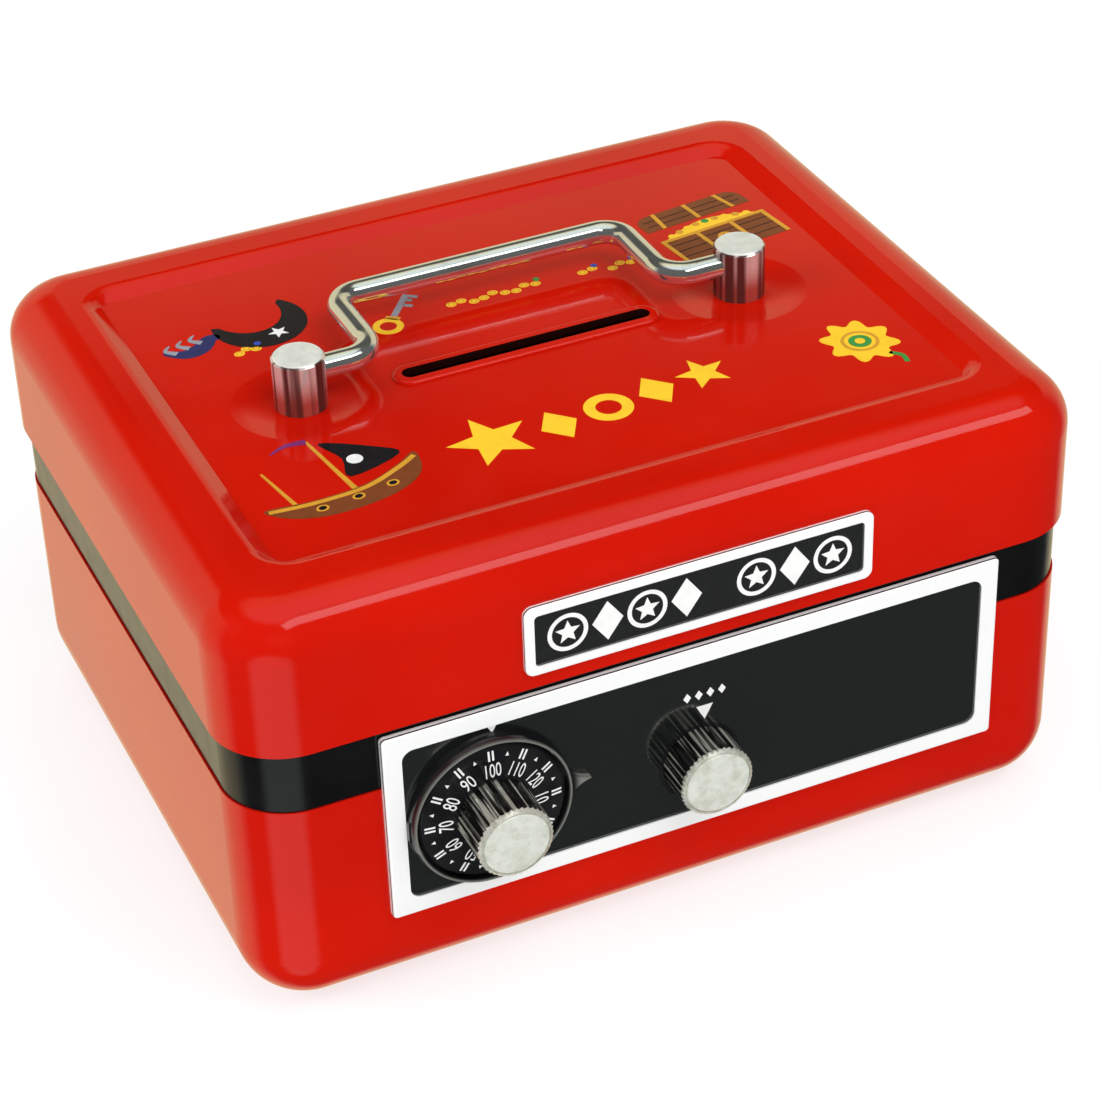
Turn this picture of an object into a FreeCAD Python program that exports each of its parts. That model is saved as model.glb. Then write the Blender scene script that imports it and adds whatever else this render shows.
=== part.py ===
"""Toy cash-box coin bank: a pressed-steel box with a hinged lid, bail handle,
one-wheel combination dial, push latch and lift-out coin tray.

Millimetres. Origin at the centre of the flat underside, +X to the right,
+Y to the hinge at the back, +Z up. Each function makes one node.
"""
import FreeCAD
import Part
import math
import os

V = FreeCAD.Vector
X_AXIS = V(1, 0, 0)
Y_AXIS = V(0, 1, 0)
Z_AXIS = V(0, 0, 1)
PARTS = "parts"

# ---- driving dimensions -------------------------------------------------
LID_W = 152.0            # lid, left to right
LID_D = 123.0            # lid, front to back
TOP_Z = 80.0             # flat border round the top of the lid
LID_EDGE_Z = 54.2        # lower edge of the lid
BASE_TOP_Z = 42.7        # rim of the base shell
SHEET = 0.8              # tinplate thickness
LID_CORNER_R = 12.5      # upright corners of the lid
LID_TOP_R = 8.5          # rolled edge round the top
BASE_INSET = 0.8         # the base is this much smaller than the lid all round
BASE_BOTTOM_R = 11.0     # rolled edge round the bottom
RUN = 0.05               # radial clearance of every running fit
SEAT = 0.02              # gap between faces that bear on each other

# Sunk top panel
PANEL_HALF_X = 60.8
PANEL_HALF_Y = 44.7
PANEL_Z = 78.3
PANEL_CORNER_R = 1.5
RAMP = 3.0               # width of the slope from the border to the panel
RAMP_CORNER_R = 7.0
RAMP_SOFT_R = 2.5

# Coin slot
SLOT_HALF = 22.9
SLOT_W = 3.0
SLOT_Y = -2.5
SLOT_LIP = 1.7           # width of the raised lip round the slot
SLOT_LIP_H = 0.7
SLOT_LIP_R = 0.65

# Shallow dish pressed in the panel round each handle post
DISH_R = 13.0
DISH_FLAT_R = 5.6
DISH_DEPTH = 0.4

# Handle
POST_X = 40.7
POST_Y = -1.7
POST_R = 4.5
POST_TOP_Z = 87.4
POST_CHAMFER = 0.5
PIVOT_Z = 84.0
BAIL_R = 2.1
BAIL_ARM_X = 27.0
BAIL_REACH = 20.4        # pivot line to the grip
BAIL_END_X = 39.6        # each pivot end stops here, inside its post
BEND_LOW = 5.0
BEND_HIGH = 4.5
SOCKET_END_X = 40.2

# Front fittings
FACE_CX = 2.9
FACE_CZ = 34.8
FACE_W = 110.8
FACE_H = 36.1
FACE_T = 0.9
FACE_BORDER = 3.2
FACE_BORDER_H = 0.35
FACE_CORNER_R = 0.8
FACE_EDGE_R = 0.45
FIELD_CORNER_R = 2.0
NAME_CX = 3.0
NAME_CZ = 63.5
NAME_W = 61.7
NAME_H = 13.0
NAME_T = 0.8
NAME_BORDER = 1.7
NAME_BORDER_H = 0.3
NAME_CORNER_R = 1.6
NAME_EDGE_R = 0.3
NAME_FIELD_R = 0.8
NAME_PRONG_X = 24.0      # the two prongs, each side of the plate's middle
PRONG_R = 0.8
PRONG_END = 0.6          # how far a prong stands out inside the lid
DIAL_X = -35.0
DIAL_Z = 34.2
PUSH_X = 2.6
PUSH_Z = 29.9
KNOB_R = 6.5
KNURLS = 42
KNURL_DEPTH = 0.32
KNOB_BEVEL = 0.6
CAP_R = 5.75
CAP_T = 0.8
CAP_CROWN = 0.15
CAP_CROWN_TURN = 0.7     # share of the radius where the crown begins to fall
CAP_EDGE = 0.25
DIAL_KNOB_REACH = 11.3   # front of the dial knob, measured from the faceplate
PUSH_KNOB_REACH = 7.0
DIAL_BORE_DEPTH = 2.0    # solid front of each knob, ahead of its bore
PUSH_BORE_DEPTH = 4.0
BORE_END_GAP = 0.1
PUSH_TRAVEL = 3.5

# Dial ring, disc and lock wheel
BEZEL_IN_R = 13.1
BEZEL_OUT_R = 14.2
BEZEL_H = 2.4
BEZEL_WEB = 0.4
BEZEL_IN_BEVEL = 0.25
BEZEL_LAND = 0.3         # flat crest between the bevel and the outer slope
BEZEL_SLOPE_OUT = 0.2    # the outer slope ends this far inside the edge
BEZEL_SLOPE_DROP = 0.9
EAR_TIP = 17.6
EAR_ROOT_R = 13.6
EAR_HALF = 5.6           # half the ear's height where it meets the ring
EAR_H = 1.3
EAR_WAIST = 0.3          # half height at the waist, as a share of EAR_HALF
EAR_WAIST_OUT = 0.7      # waist measured out from EAR_ROOT_R
DISC_R = 12.7
DISC_RIM_T = 0.9
DISC_HUB_T = 1.5
DISC_EDGE_IN = 0.35      # bevel of the disc's front edge
DISC_EDGE_BACK = 0.3
DISC_PLAY = 0.08
SPINDLE_R = 2.0
WHEEL_R = 11.0
WHEEL_T = 1.5
WHEEL_HUB_R = 3.5
WASHER_LIP = 0.9         # the friction washer is this much wider than the hub
GATE_DEPTH = 3.6
GATE_W = 5.2
GATE_COUNT = 2

# Collar, the black band between the lid and the base
BAND_INSET = 0.3
COLLAR_T = 1.2
SKIRT_Z = 16.0
BAND_GAP = 0.3           # open line under the lid's edge
NECK_GAP = 0.5
NECK_TOP_Z = 57.5
LEDGE_TOP_Z = 50.0
LEDGE_T = 1.2
LEDGE_IN_X = 68.6
LEDGE_Y = (-34.0, 54.0)

# Hinge
HINGE_LENGTH = 90.0
KNUCKLES = 5
KNUCKLE_GAP = 0.2
KNUCKLE_R = 2.0
PIN_R = 1.0
PIN_HEAD_T = 0.6
LEAF_T = 0.8
LEAF_BASE_Z = (33.0, 50.3)
LEAF_LID_Z = (54.6, 65.0)
LEAF_STEM = 1.1          # height of the bent strip from a leaf to its knuckle
HINGE_RIVET_X = (-34.0, 0.0, 34.0)
HINGE_RIVET_BASE_Z = 38.0
HINGE_RIVET_LID_Z = 61.0

# Rivets and screws
RIVET_R = 1.0
RIVET_HEAD_R = 2.1
RIVET_HEAD_T = 0.7
RIVET_DOME = ((0.8, 0.65), (0.4, 0.95))          # dome points, as shares of radius and height
RIVET_TAIL_R = 1.7
RIVET_TAIL_T = 0.5
SCREW_R = 1.5
SCREW_TOP_Z = 81.2
SCREW_HEAD_R = 2.8
SCREW_HEAD_T = 1.8
WASHER_R = 4.2
WASHER_T = 0.6
RECESS_HALF = 1.4        # cross recess of the screws
RECESS_W = 0.6
RECESS_DEPTH = 0.9
THREAD_END_GAP = 1.2

# Coin tray
TRAY_RIM_HALF_X = 72.0
TRAY_RIM_CORNER_R = 10.0
TRAY_HALF_X = 68.0
TRAY_Y = (-36.0, 56.0)
TRAY_FLOOR_Z = 30.0
TRAY_RIM_T = 1.2
TRAY_RIM = 1.0
TRAY_WALL = 1.3
TRAY_FLOOR_T = 1.3
TRAY_CORNER_R = 6.0
TRAY_SPLIT_Y = 22.0      # front edge of the long note compartment
COIN_WELLS = 4
WELL_CORNER_R = 4.0
WELL_FLOOR_R = 3.5

# ---- levels worked out from the dimensions above ------------------------
LID_FRONT_Y = -LID_D / 2
LID_BACK_Y = LID_D / 2
BASE_FRONT_Y = LID_FRONT_Y + BASE_INSET
BASE_BACK_Y = LID_BACK_Y - BASE_INSET
WALL_IN_Y = BASE_FRONT_Y + SHEET
SKIRT_IN_Y = WALL_IN_Y + RUN + COLLAR_T
FACE_BACK_Y = BASE_FRONT_Y - SEAT
FACE_Y = FACE_BACK_Y - FACE_T                    # black field of the faceplate
PANEL_UNDER_Z = PANEL_Z - SHEET
DISH_Z = PANEL_Z - DISH_DEPTH
DISH_UNDER_Z = DISH_Z - SHEET
HINGE_Y = LID_BACK_Y + KNUCKLE_R
HINGE_Z = (LEAF_BASE_Z[1] + LEAF_LID_Z[0]) / 2 - SEAT
BUSH_R = 3.95
BUSH_PROUD = 2.7
BUSH_END_Y = SKIRT_IN_Y + BUSH_PROUD
BUSH_FLANGE_R = 6.0
BUSH_FLANGE_T = 0.4
FLANGE_FRONT_Y = FACE_Y - SEAT - BEZEL_WEB - SEAT - BUSH_FLANGE_T
DISC_BACK_Y = FLANGE_FRONT_Y - DISC_PLAY
DISC_EDGE_Y = DISC_BACK_Y - DISC_RIM_T
DISC_FRONT_Y = DISC_BACK_Y - DISC_HUB_T
DISC_FLAT_R = 7.2
DIAL_FRONT_Y = FACE_Y - DIAL_KNOB_REACH
PUSH_FRONT_Y = FACE_Y - PUSH_KNOB_REACH
NUT_FLATS = 11.0
NUT_T = 2.0
SPINDLE_END_Y = -50.8
WHEEL_FRONT_Y = -54.5
WASHER_SPACE = 0.3
HUB_FRONT_Y = BUSH_END_Y + WASHER_SPACE
CLIP_T = 0.7
CLIP_R = 3.6
GROOVE_DEPTH = 0.5
CLIP_BITE_R = 0.5
CLIP_BITE_OUT = 0.35
CLIP_MOUTH = 2.0
PUSH_BUSH_R = 7.2
PUSH_BUSH_FLANGE_R = 9.0
PUSH_BUSH_FLANGE_T = 0.8
KNOB_TAIL_Y = -57.2
ROD_R = 2.5
PLATE_Y = (-56.5, -55.3)                         # latch plate, front and back
BRACKET_T = 1.0
BRACKET_Y = -45.0                                # front of the bracket's rear wall
BRACKET_HALF_W = 12.0
BRACKET_Z = (PUSH_Z - 10.0, PUSH_Z + 10.0)
BRACKET_FOOT = 8.0
LOCK_RIVET_OUT = 5.0     # rivet line outside the bracket's side walls
LOCK_RIVET_X = BRACKET_HALF_W + LOCK_RIVET_OUT
LOCK_RIVET_Z = (PUSH_Z - 7.5, PUSH_Z + 7.5)
ROD_TAIL = 2.2           # rod beyond the bracket
ROD_END_Y = BRACKET_Y + BRACKET_T + ROD_TAIL
SPRING_WIRE_R = 0.45
SPRING_R = 3.6
SPRING_PITCH = 1.9
LATCH_HUB_R = 4.2
ARM_HALF = 2.0                                   # half width of the latch plate's arms
ARM_PLAY = 0.1
ARM_SLOT_ENDS = (0.3, 0.5)                       # room in front of the arm, and behind its travel
FENCE_REACH = 2.6        # the fence enters a gate by this much
FENCE_TIP_X = DIAL_X + WHEEL_R - FENCE_REACH
NOSE_Z = (51.0, 53.4)
NOSE_HALF = 3.0
NOSE_LIP = 0.8
NOSE_ROOT = 0.2
NOSE_Y = -58.5
CATCH_T = 0.8
CATCH_Y = -58.4
CATCH_HALF = 7.0
CATCH_Z = (47.5, 70.0)
CATCH_STEP_Z = 60.0
CATCH_RIVET_X = 4.2
CATCH_RIVET_Z = 66.5
WINDOW_HALF = 3.6
WINDOW_Z = (50.4, 54.2)


# ---- geometry helpers ---------------------------------------------------
def box(x0, x1, y0, y1, z0, z1):
    """Box between two corners."""
    return Part.makeBox(x1 - x0, y1 - y0, z1 - z0, V(x0, y0, z0))


def cylinder(radius, start, direction, length):
    """Solid cylinder from a start point along a direction."""
    return Part.makeCylinder(radius, length, V(*start), direction)


def across(radius, x, z, y0, y1):
    """Cylinder along Y between two depths."""
    return cylinder(radius, (x, y0, z), Y_AXIS, y1 - y0)


def ring_across(outer, inner, x, z, y0, y1):
    """Tube along Y."""
    return across(outer, x, z, y0, y1).cut(across(inner, x, z, y0 - 1, y1 + 1))


def edges_along(shape, axis):
    """Straight edges that run along one axis."""
    found = []
    for edge in shape.Edges:
        if len(edge.Vertexes) == 2 and isinstance(edge.Curve, Part.Line):
            step = edge.Vertexes[1].Point - edge.Vertexes[0].Point
            if abs(abs(step.dot(axis)) - step.Length) < 1e-6:
                found.append(edge)
    return found


def edges_at(shape, z, limit_x=1e6):
    """Edges that lie in one level, within a distance of the middle."""
    found = []
    for edge in shape.Edges:
        bounds = edge.BoundBox
        level = abs(bounds.ZMin - z) < 1e-4 and abs(bounds.ZMax - z) < 1e-4
        if level and bounds.XMax < limit_x and bounds.XMin > -limit_x:
            found.append(edge)
    return found


def edges_at_depth(shape, y):
    """Edges that lie in one upright plane across Y."""
    return [edge for edge in shape.Edges
            if abs(edge.BoundBox.YMin - y) < 1e-4 and abs(edge.BoundBox.YMax - y) < 1e-4]


def rounded_block(width, depth, corner, z0, z1, cy=0.0):
    """Block centred on X with rounded upright edges."""
    block = box(-width / 2, width / 2, cy - depth / 2, cy + depth / 2, z0, z1)
    return block.makeFillet(corner, edges_along(block, Z_AXIS))


def plate(cx, cz, width, height, corner, y0, y1):
    """Upright plate facing the front, with rounded corners."""
    sheet = box(cx - width / 2, cx + width / 2, y0, y1, cz - height / 2, cz + height / 2)
    return sheet.makeFillet(corner, edges_along(sheet, Y_AXIS))


def turned(x, z, profile):
    """Revolve (radius, y) points about a line along Y."""
    points = [V(x + radius, y, z) for radius, y in profile]
    wire = Part.makePolygon(points + points[:1])
    return Part.Face(wire).revolve(V(x, 0, z), Y_AXIS, 360)


def prism(points, y0, y1):
    """Extrude (x, z) points along Y."""
    corners = [V(x, y0, z) for x, z in points]
    face = Part.Face(Part.makePolygon(corners + corners[:1]))
    return face.extrude(V(0, y1 - y0, 0))


def joined(shapes):
    """One solid from shapes that touch or overlap."""
    return shapes[0].multiFuse(shapes[1:]).removeSplitter()


def slot_block(half_length, width, z0, z1):
    """Upright block with round ends, over the coin slot."""
    block = box(-half_length, half_length, SLOT_Y - width / 2, SLOT_Y + width / 2, z0, z1)
    return block.makeFillet(width / 2 - 0.01, edges_along(block, Z_AXIS))


def save(name, shape):
    """Write one node."""
    if not shape.isValid():
        print("invalid shape:", name)
    shape.exportStep(os.path.join(PARTS, name + ".step"))


# ---- shared forms -------------------------------------------------------
def lid_form(offset):
    """Outside of the lid, moved inward by an offset."""
    top = TOP_Z - offset
    bottom = LID_EDGE_Z - offset
    form = rounded_block(LID_W - 2 * offset, LID_D - 2 * offset, LID_CORNER_R - offset, bottom, top)
    form = form.makeFillet(LID_TOP_R - offset, edges_at(form, top))
    form = form.cut(panel_pocket(offset))
    soft_edges = edges_at(form, top, PANEL_HALF_X + RAMP + 2 * SHEET)
    form = form.makeFillet(RAMP_SOFT_R, soft_edges)
    return form.cut([post_dish(side, offset) for side in (-1, 1)])


def panel_pocket(offset):
    """Sloped-sided space above the sunk panel."""
    levels = [(PANEL_Z - offset, 0.0, PANEL_CORNER_R), (TOP_Z - offset, RAMP, RAMP_CORNER_R),
              (TOP_Z + 1.0, RAMP, RAMP_CORNER_R)]
    wires = []
    for z, spread, corner in levels:
        grow = spread + offset / 2
        block = rounded_block(2 * (PANEL_HALF_X + grow), 2 * (PANEL_HALF_Y + grow),
                              corner + offset / 2, z, z + 1)
        wires.append(Part.Wire(Part.__sortEdges__(edges_at(block, z))))
    return Part.makeLoft(wires, True, True)


def post_dish(side, offset):
    """Space over the dish round a post: a flat seat, then an S-curve out to the panel."""
    overlap = 0.02
    bottom = DISH_Z - offset
    top = PANEL_Z - offset + overlap
    run = (DISH_R - DISH_FLAT_R) / 2
    rise = (top - bottom) / 2
    bend_r = (run * run + rise * rise) / (2 * rise)
    turn = math.asin(run / bend_r) / 2
    step_out = bend_r * math.sin(turn)
    step_up = bend_r * (1 - math.cos(turn))
    x = side * POST_X
    seat = V(x + DISH_FLAT_R, POST_Y, bottom)
    waist = V(x + DISH_FLAT_R + run, POST_Y, bottom + rise)
    rim = V(x + DISH_R, POST_Y, top)
    lower = Part.Arc(seat, V(seat.x + step_out, POST_Y, bottom + step_up), waist).toShape()
    upper = Part.Arc(waist, V(rim.x - step_out, POST_Y, top - step_up), rim).toShape()
    sides = Part.makePolygon([rim, V(rim.x, POST_Y, top + 1), V(x, POST_Y, top + 1),
                              V(x, POST_Y, bottom), seat])
    outline = Part.Wire([lower, upper] + sides.Edges)
    return Part.Face(outline).revolve(V(x, POST_Y, 0), Z_AXIS, 360)


def base_form(offset, top):
    """Outside of the base shell, moved inward by an offset."""
    form = rounded_block(LID_W - 2 * (BASE_INSET + offset), LID_D - 2 * (BASE_INSET + offset),
                         LID_CORNER_R - BASE_INSET - offset, offset, top)
    return form.makeFillet(BASE_BOTTOM_R - offset, edges_at(form, offset))


def collar_block(inset, z0, z1):
    """Rounded block set in from the lid's outline by a distance."""
    return rounded_block(LID_W - 2 * inset, LID_D - 2 * inset, LID_CORNER_R - inset, z0, z1)


def front_holes(y0, y1):
    """Holes for the dial bush, the push bush and the lock rivets."""
    holes = [across(BUSH_R + RUN, DIAL_X, DIAL_Z, y0, y1),
             across(PUSH_BUSH_R + RUN, PUSH_X, PUSH_Z, y0, y1)]
    for x in lock_rivet_columns():
        for z in LOCK_RIVET_Z:
            holes.append(across(RIVET_R + SEAT, x, z, y0, y1))
    return holes


def lock_rivet_columns():
    return (PUSH_X - LOCK_RIVET_X, PUSH_X + LOCK_RIVET_X)


def hinge_holes(z, y0, y1):
    return [across(RIVET_R + SEAT, x, z, y0, y1) for x in HINGE_RIVET_X]


def knurled_bar(x, z, front_y, back_y):
    """Knurled bar with a bevelled front edge."""
    points = []
    for step in range(2 * KNURLS):
        radius = KNOB_R - (KNURL_DEPTH if step % 2 else 0.0)
        angle = math.pi * step / KNURLS
        points.append((x + radius * math.cos(angle), z + radius * math.sin(angle)))
    teeth = prism(points, front_y, back_y)
    full_r = KNOB_R + RUN
    envelope = turned(x, z, [(0, front_y), (KNOB_R - KNOB_BEVEL, front_y),
                             (full_r, front_y + KNOB_BEVEL), (full_r, back_y), (0, back_y)])
    return teeth.common(envelope)


def knob_cap(x, z, front_y):
    """Thin disc let into the front of a knob, slightly crowned."""
    back_y = front_y + CAP_T
    shoulder = (CAP_R * CAP_CROWN_TURN, front_y - CAP_CROWN * CAP_CROWN_TURN)
    return turned(x, z, [(0, front_y - CAP_CROWN), shoulder,
                         (CAP_R - CAP_EDGE, front_y), (CAP_R, front_y + CAP_EDGE),
                         (CAP_R, back_y), (0, back_y)])


def cap_recess(x, z, front_y):
    return across(CAP_R + SEAT, x, z, front_y - 1, front_y + CAP_T + SEAT)


def retaining_clip(x, z, y0, shaft_r):
    """E-clip: a ring with three bites and an open side, sprung into a groove."""
    ring = ring_across(CLIP_R, shaft_r - GROOVE_DEPTH + SEAT, x, z, y0, y0 + CLIP_T)
    bites = []
    for angle in (90, 210, 330):
        reach = shaft_r + CLIP_BITE_OUT
        dx = reach * math.cos(math.radians(angle))
        dz = reach * math.sin(math.radians(angle))
        bites.append(across(CLIP_BITE_R, x + dx, z + dz, y0 - 1, y0 + CLIP_T + 1))
    mouth = box(x - CLIP_MOUTH / 2, x + CLIP_MOUTH / 2, y0 - 1, y0 + CLIP_T + 1, z - CLIP_R - 1, z)
    return ring.cut(joined(bites)).cut(mouth)


# ---- base ---------------------------------------------------------------
def base_shell():
    shell = base_form(0.0, BASE_TOP_Z).cut(base_form(SHEET, BASE_TOP_Z + 1))
    holes = front_holes(BASE_FRONT_Y - 1, WALL_IN_Y + 1)
    holes += hinge_holes(HINGE_RIVET_BASE_Z, BASE_BACK_Y - SHEET - 1, BASE_BACK_Y + 1)
    return shell.cut(holes)


def inner_collar():
    """Black collar: a skirt inside the base, the visible band, and a neck inside the lid."""
    skirt_inset = BASE_INSET + SHEET + RUN
    skirt = collar_block(skirt_inset, SKIRT_Z, BASE_TOP_Z + 1)
    band = collar_block(BASE_INSET + BAND_INSET, BASE_TOP_Z + SEAT, LID_EDGE_Z - BAND_GAP)
    neck = collar_block(SHEET + NECK_GAP, BASE_TOP_Z + 1, NECK_TOP_Z)
    hollow = collar_block(skirt_inset + COLLAR_T, SKIRT_Z - 1, NECK_TOP_Z + 1)
    ring = joined([skirt, band, neck]).cut(hollow)
    wall_x = LID_W / 2 - skirt_inset - COLLAR_T / 2
    ledges = []
    for side in (-1, 1):
        x0, x1 = sorted((side * LEDGE_IN_X, side * wall_x))
        ledges.append(box(x0, x1, LEDGE_Y[0], LEDGE_Y[1], LEDGE_TOP_Z - LEDGE_T, LEDGE_TOP_Z))
    ring = joined([ring] + ledges)
    holes = front_holes(WALL_IN_Y - 1, SKIRT_IN_Y + 1)
    holes += hinge_holes(HINGE_RIVET_BASE_Z, BASE_BACK_Y - 3 * COLLAR_T, BASE_BACK_Y)
    return ring.cut(holes)


def faceplate():
    """Pressed plate with a raised border round its field."""
    border_y = FACE_Y - FACE_BORDER_H
    blank = plate(FACE_CX, FACE_CZ, FACE_W, FACE_H, FACE_CORNER_R, border_y, FACE_BACK_Y)
    blank = blank.makeFillet(FACE_EDGE_R, edges_at_depth(blank, border_y))
    field = plate(FACE_CX, FACE_CZ, FACE_W - 2 * FACE_BORDER, FACE_H - 2 * FACE_BORDER,
                  FIELD_CORNER_R, border_y - 1, FACE_Y)
    holes = [across(BUSH_R + RUN, DIAL_X, DIAL_Z, border_y - 1, FACE_BACK_Y + 1),
             across(PUSH_BUSH_R + RUN, PUSH_X, PUSH_Z, border_y - 1, FACE_BACK_Y + 1)]
    return blank.cut([field] + holes)


def dial_bezel():
    """Raised ring round the dial with a pointed ear at each side."""
    back = FACE_Y - SEAT
    front = back - BEZEL_H
    web_front = back - BEZEL_WEB
    crest_r = BEZEL_IN_R + BEZEL_IN_BEVEL
    ring = turned(DIAL_X, DIAL_Z, [
        (BUSH_R + RUN, back), (BUSH_R + RUN, web_front), (BEZEL_IN_R, web_front),
        (BEZEL_IN_R, front + BEZEL_IN_BEVEL), (crest_r, front), (crest_r + BEZEL_LAND, front),
        (BEZEL_OUT_R - BEZEL_SLOPE_OUT, front + BEZEL_SLOPE_DROP), (BEZEL_OUT_R, back)])
    ears = [ear(side, back) for side in (-1, 1)]
    inside_field = FACE_CX - FACE_W / 2 + FACE_BORDER + SEAT
    beyond = box(inside_field - 10, inside_field, front - 1, back + 1, 0, LID_EDGE_Z)
    disc_space = across(BEZEL_IN_R, DIAL_X, DIAL_Z, front - 1, web_front)
    return joined([ring] + ears).cut([beyond, disc_space])


def ear(side, back):
    """Pointed ear whose two flanks curve in to the tip, ridged along its middle."""
    tip = V(DIAL_X + side * EAR_TIP, back, DIAL_Z)
    flanks = []
    for half in (-1, 1):
        root_x = math.sqrt(EAR_ROOT_R ** 2 - EAR_HALF ** 2)
        root = V(DIAL_X + side * root_x, back, DIAL_Z + half * EAR_HALF)
        middle = V(DIAL_X + side * (EAR_ROOT_R + EAR_WAIST_OUT), back, DIAL_Z + half * EAR_HALF * EAR_WAIST)
        flanks.append((root, middle, tip))
    lower = Part.Arc(*flanks[0]).toShape()
    upper = Part.Arc(*reversed(flanks[1])).toShape()
    inner = Part.makeLine(flanks[1][0], flanks[0][0])
    outline = Part.Wire([lower, upper, inner])
    return Part.Face(outline).extrude(V(0, -EAR_H, 0))


def dial_bush():
    """Flanged bush that clamps the bezel, faceplate, wall and collar."""
    flange_back = FLANGE_FRONT_Y + BUSH_FLANGE_T
    body = across(BUSH_R, DIAL_X, DIAL_Z, flange_back, BUSH_END_Y)
    flange = across(BUSH_FLANGE_R, DIAL_X, DIAL_Z, FLANGE_FRONT_Y, flange_back)
    bore = across(SPINDLE_R + RUN, DIAL_X, DIAL_Z, FLANGE_FRONT_Y - 1, BUSH_END_Y + 1)
    return joined([body, flange]).cut(bore)


def dial_bush_nut():
    y0 = SKIRT_IN_Y + SEAT
    corner_r = NUT_FLATS / 2 / math.cos(math.pi / 6)
    points = []
    for step in range(6):
        angle = math.radians(60 * step)
        points.append((DIAL_X + corner_r * math.cos(angle), DIAL_Z + corner_r * math.sin(angle)))
    return prism(points, y0, y0 + NUT_T).cut(across(BUSH_R + SEAT, DIAL_X, DIAL_Z, y0 - 1, y0 + NUT_T + 1))


def spindle_washer():
    """Friction washer between the bush and the wheel's hub."""
    return ring_across(WHEEL_HUB_R + WASHER_LIP, SPINDLE_R + RUN, DIAL_X, DIAL_Z,
                       BUSH_END_Y + SEAT, HUB_FRONT_Y - SEAT)


def push_bush():
    """Guide for the push knob, flanged on the inside and flush at the front."""
    flange_y = SKIRT_IN_Y + SEAT
    body = across(PUSH_BUSH_R, PUSH_X, PUSH_Z, FACE_Y, flange_y)
    flange = across(PUSH_BUSH_FLANGE_R, PUSH_X, PUSH_Z, flange_y, flange_y + PUSH_BUSH_FLANGE_T)
    bore = across(KNOB_R + RUN, PUSH_X, PUSH_Z, FACE_Y - 1, flange_y + 2)
    return joined([body, flange]).cut(bore)


def lock_bracket():
    """Folded bracket that guides the rod and the latch plate behind the front wall."""
    foot_y = SKIRT_IN_Y + SEAT
    z0, z1 = BRACKET_Z
    left = PUSH_X - BRACKET_HALF_W
    right = PUSH_X + BRACKET_HALF_W
    rear = box(left, right, BRACKET_Y, BRACKET_Y + BRACKET_T, z0, z1)
    sides = [box(x, x + BRACKET_T, foot_y, BRACKET_Y + BRACKET_T, z0, z1)
             for x in (left, right - BRACKET_T)]
    feet = [box(x, x + BRACKET_FOOT, foot_y, foot_y + BRACKET_T, z0, z1)
            for x in (left - BRACKET_FOOT + BRACKET_T, right - BRACKET_T)]
    bracket = joined([rear] + sides + feet)
    rod_hole = across(ROD_R + RUN, PUSH_X, PUSH_Z, BRACKET_Y - 1, BRACKET_Y + 2)
    guide = ARM_HALF + ARM_PLAY
    slot_front = PLATE_Y[0] - ARM_SLOT_ENDS[0]
    slot_back = PLATE_Y[1] + PUSH_TRAVEL + ARM_SLOT_ENDS[1]
    arm_slot = box(left - 1, left + 2 * BRACKET_T, slot_front, slot_back, PUSH_Z - guide, PUSH_Z + guide)
    rivets = [across(RIVET_R + SEAT, x, z, foot_y - 1, foot_y + 2)
              for x in lock_rivet_columns() for z in LOCK_RIVET_Z]
    return bracket.cut([rod_hole, arm_slot] + rivets)


def lock_rivets():
    """Four rivets, flush outside under the faceplate, headed inside."""
    head_y = SKIRT_IN_Y + SEAT + BRACKET_T + SEAT
    rivets = []
    for x in lock_rivet_columns():
        for z in LOCK_RIVET_Z:
            shank = across(RIVET_R, x, z, BASE_FRONT_Y, head_y)
            head = across(RIVET_HEAD_R, x, z, head_y, head_y + RIVET_HEAD_T)
            rivets.append(joined([shank, head]))
    return Part.makeCompound(rivets)


def knuckle_spans(first):
    """Start and end of every second knuckle along the hinge."""
    pitch = HINGE_LENGTH / KNUCKLES
    spans = []
    for index in range(first, KNUCKLES, 2):
        start = -HINGE_LENGTH / 2 + index * pitch
        spans.append((start + KNUCKLE_GAP / 2, start + pitch - KNUCKLE_GAP / 2))
    return spans


def hinge_leaf(y0, leaf_z, stem_z, first, bore_r, rivet_z):
    """Flat leaf with knuckles rolled on one edge."""
    half = HINGE_LENGTH / 2
    shapes = [box(-half, half, y0, y0 + LEAF_T, leaf_z[0], leaf_z[1])]
    bores = []
    for x0, x1 in knuckle_spans(first):
        shapes.append(box(x0, x1, y0, HINGE_Y, stem_z[0], stem_z[1]))
        shapes.append(cylinder(KNUCKLE_R, (x0, HINGE_Y, HINGE_Z), X_AXIS, x1 - x0))
        bores.append(cylinder(bore_r, (x0 - 1, HINGE_Y, HINGE_Z), X_AXIS, x1 - x0 + 2))
    leaf = joined(shapes).cut(bores)
    return leaf.cut(hinge_holes(rivet_z, y0 - 1, y0 + 2))


def hinge_leaf_base():
    stem = (LEAF_BASE_Z[1] - LEAF_STEM, HINGE_Z - PIN_R)
    return hinge_leaf(BASE_BACK_Y + SEAT, LEAF_BASE_Z, stem, 0, PIN_R + SEAT, HINGE_RIVET_BASE_Z)


def hinge_leaf_lid():
    stem = (HINGE_Z + PIN_R, LEAF_LID_Z[0] + LEAF_STEM)
    return hinge_leaf(LID_BACK_Y + SEAT, LEAF_LID_Z, stem, 1, PIN_R + RUN, HINGE_RIVET_LID_Z)


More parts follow.
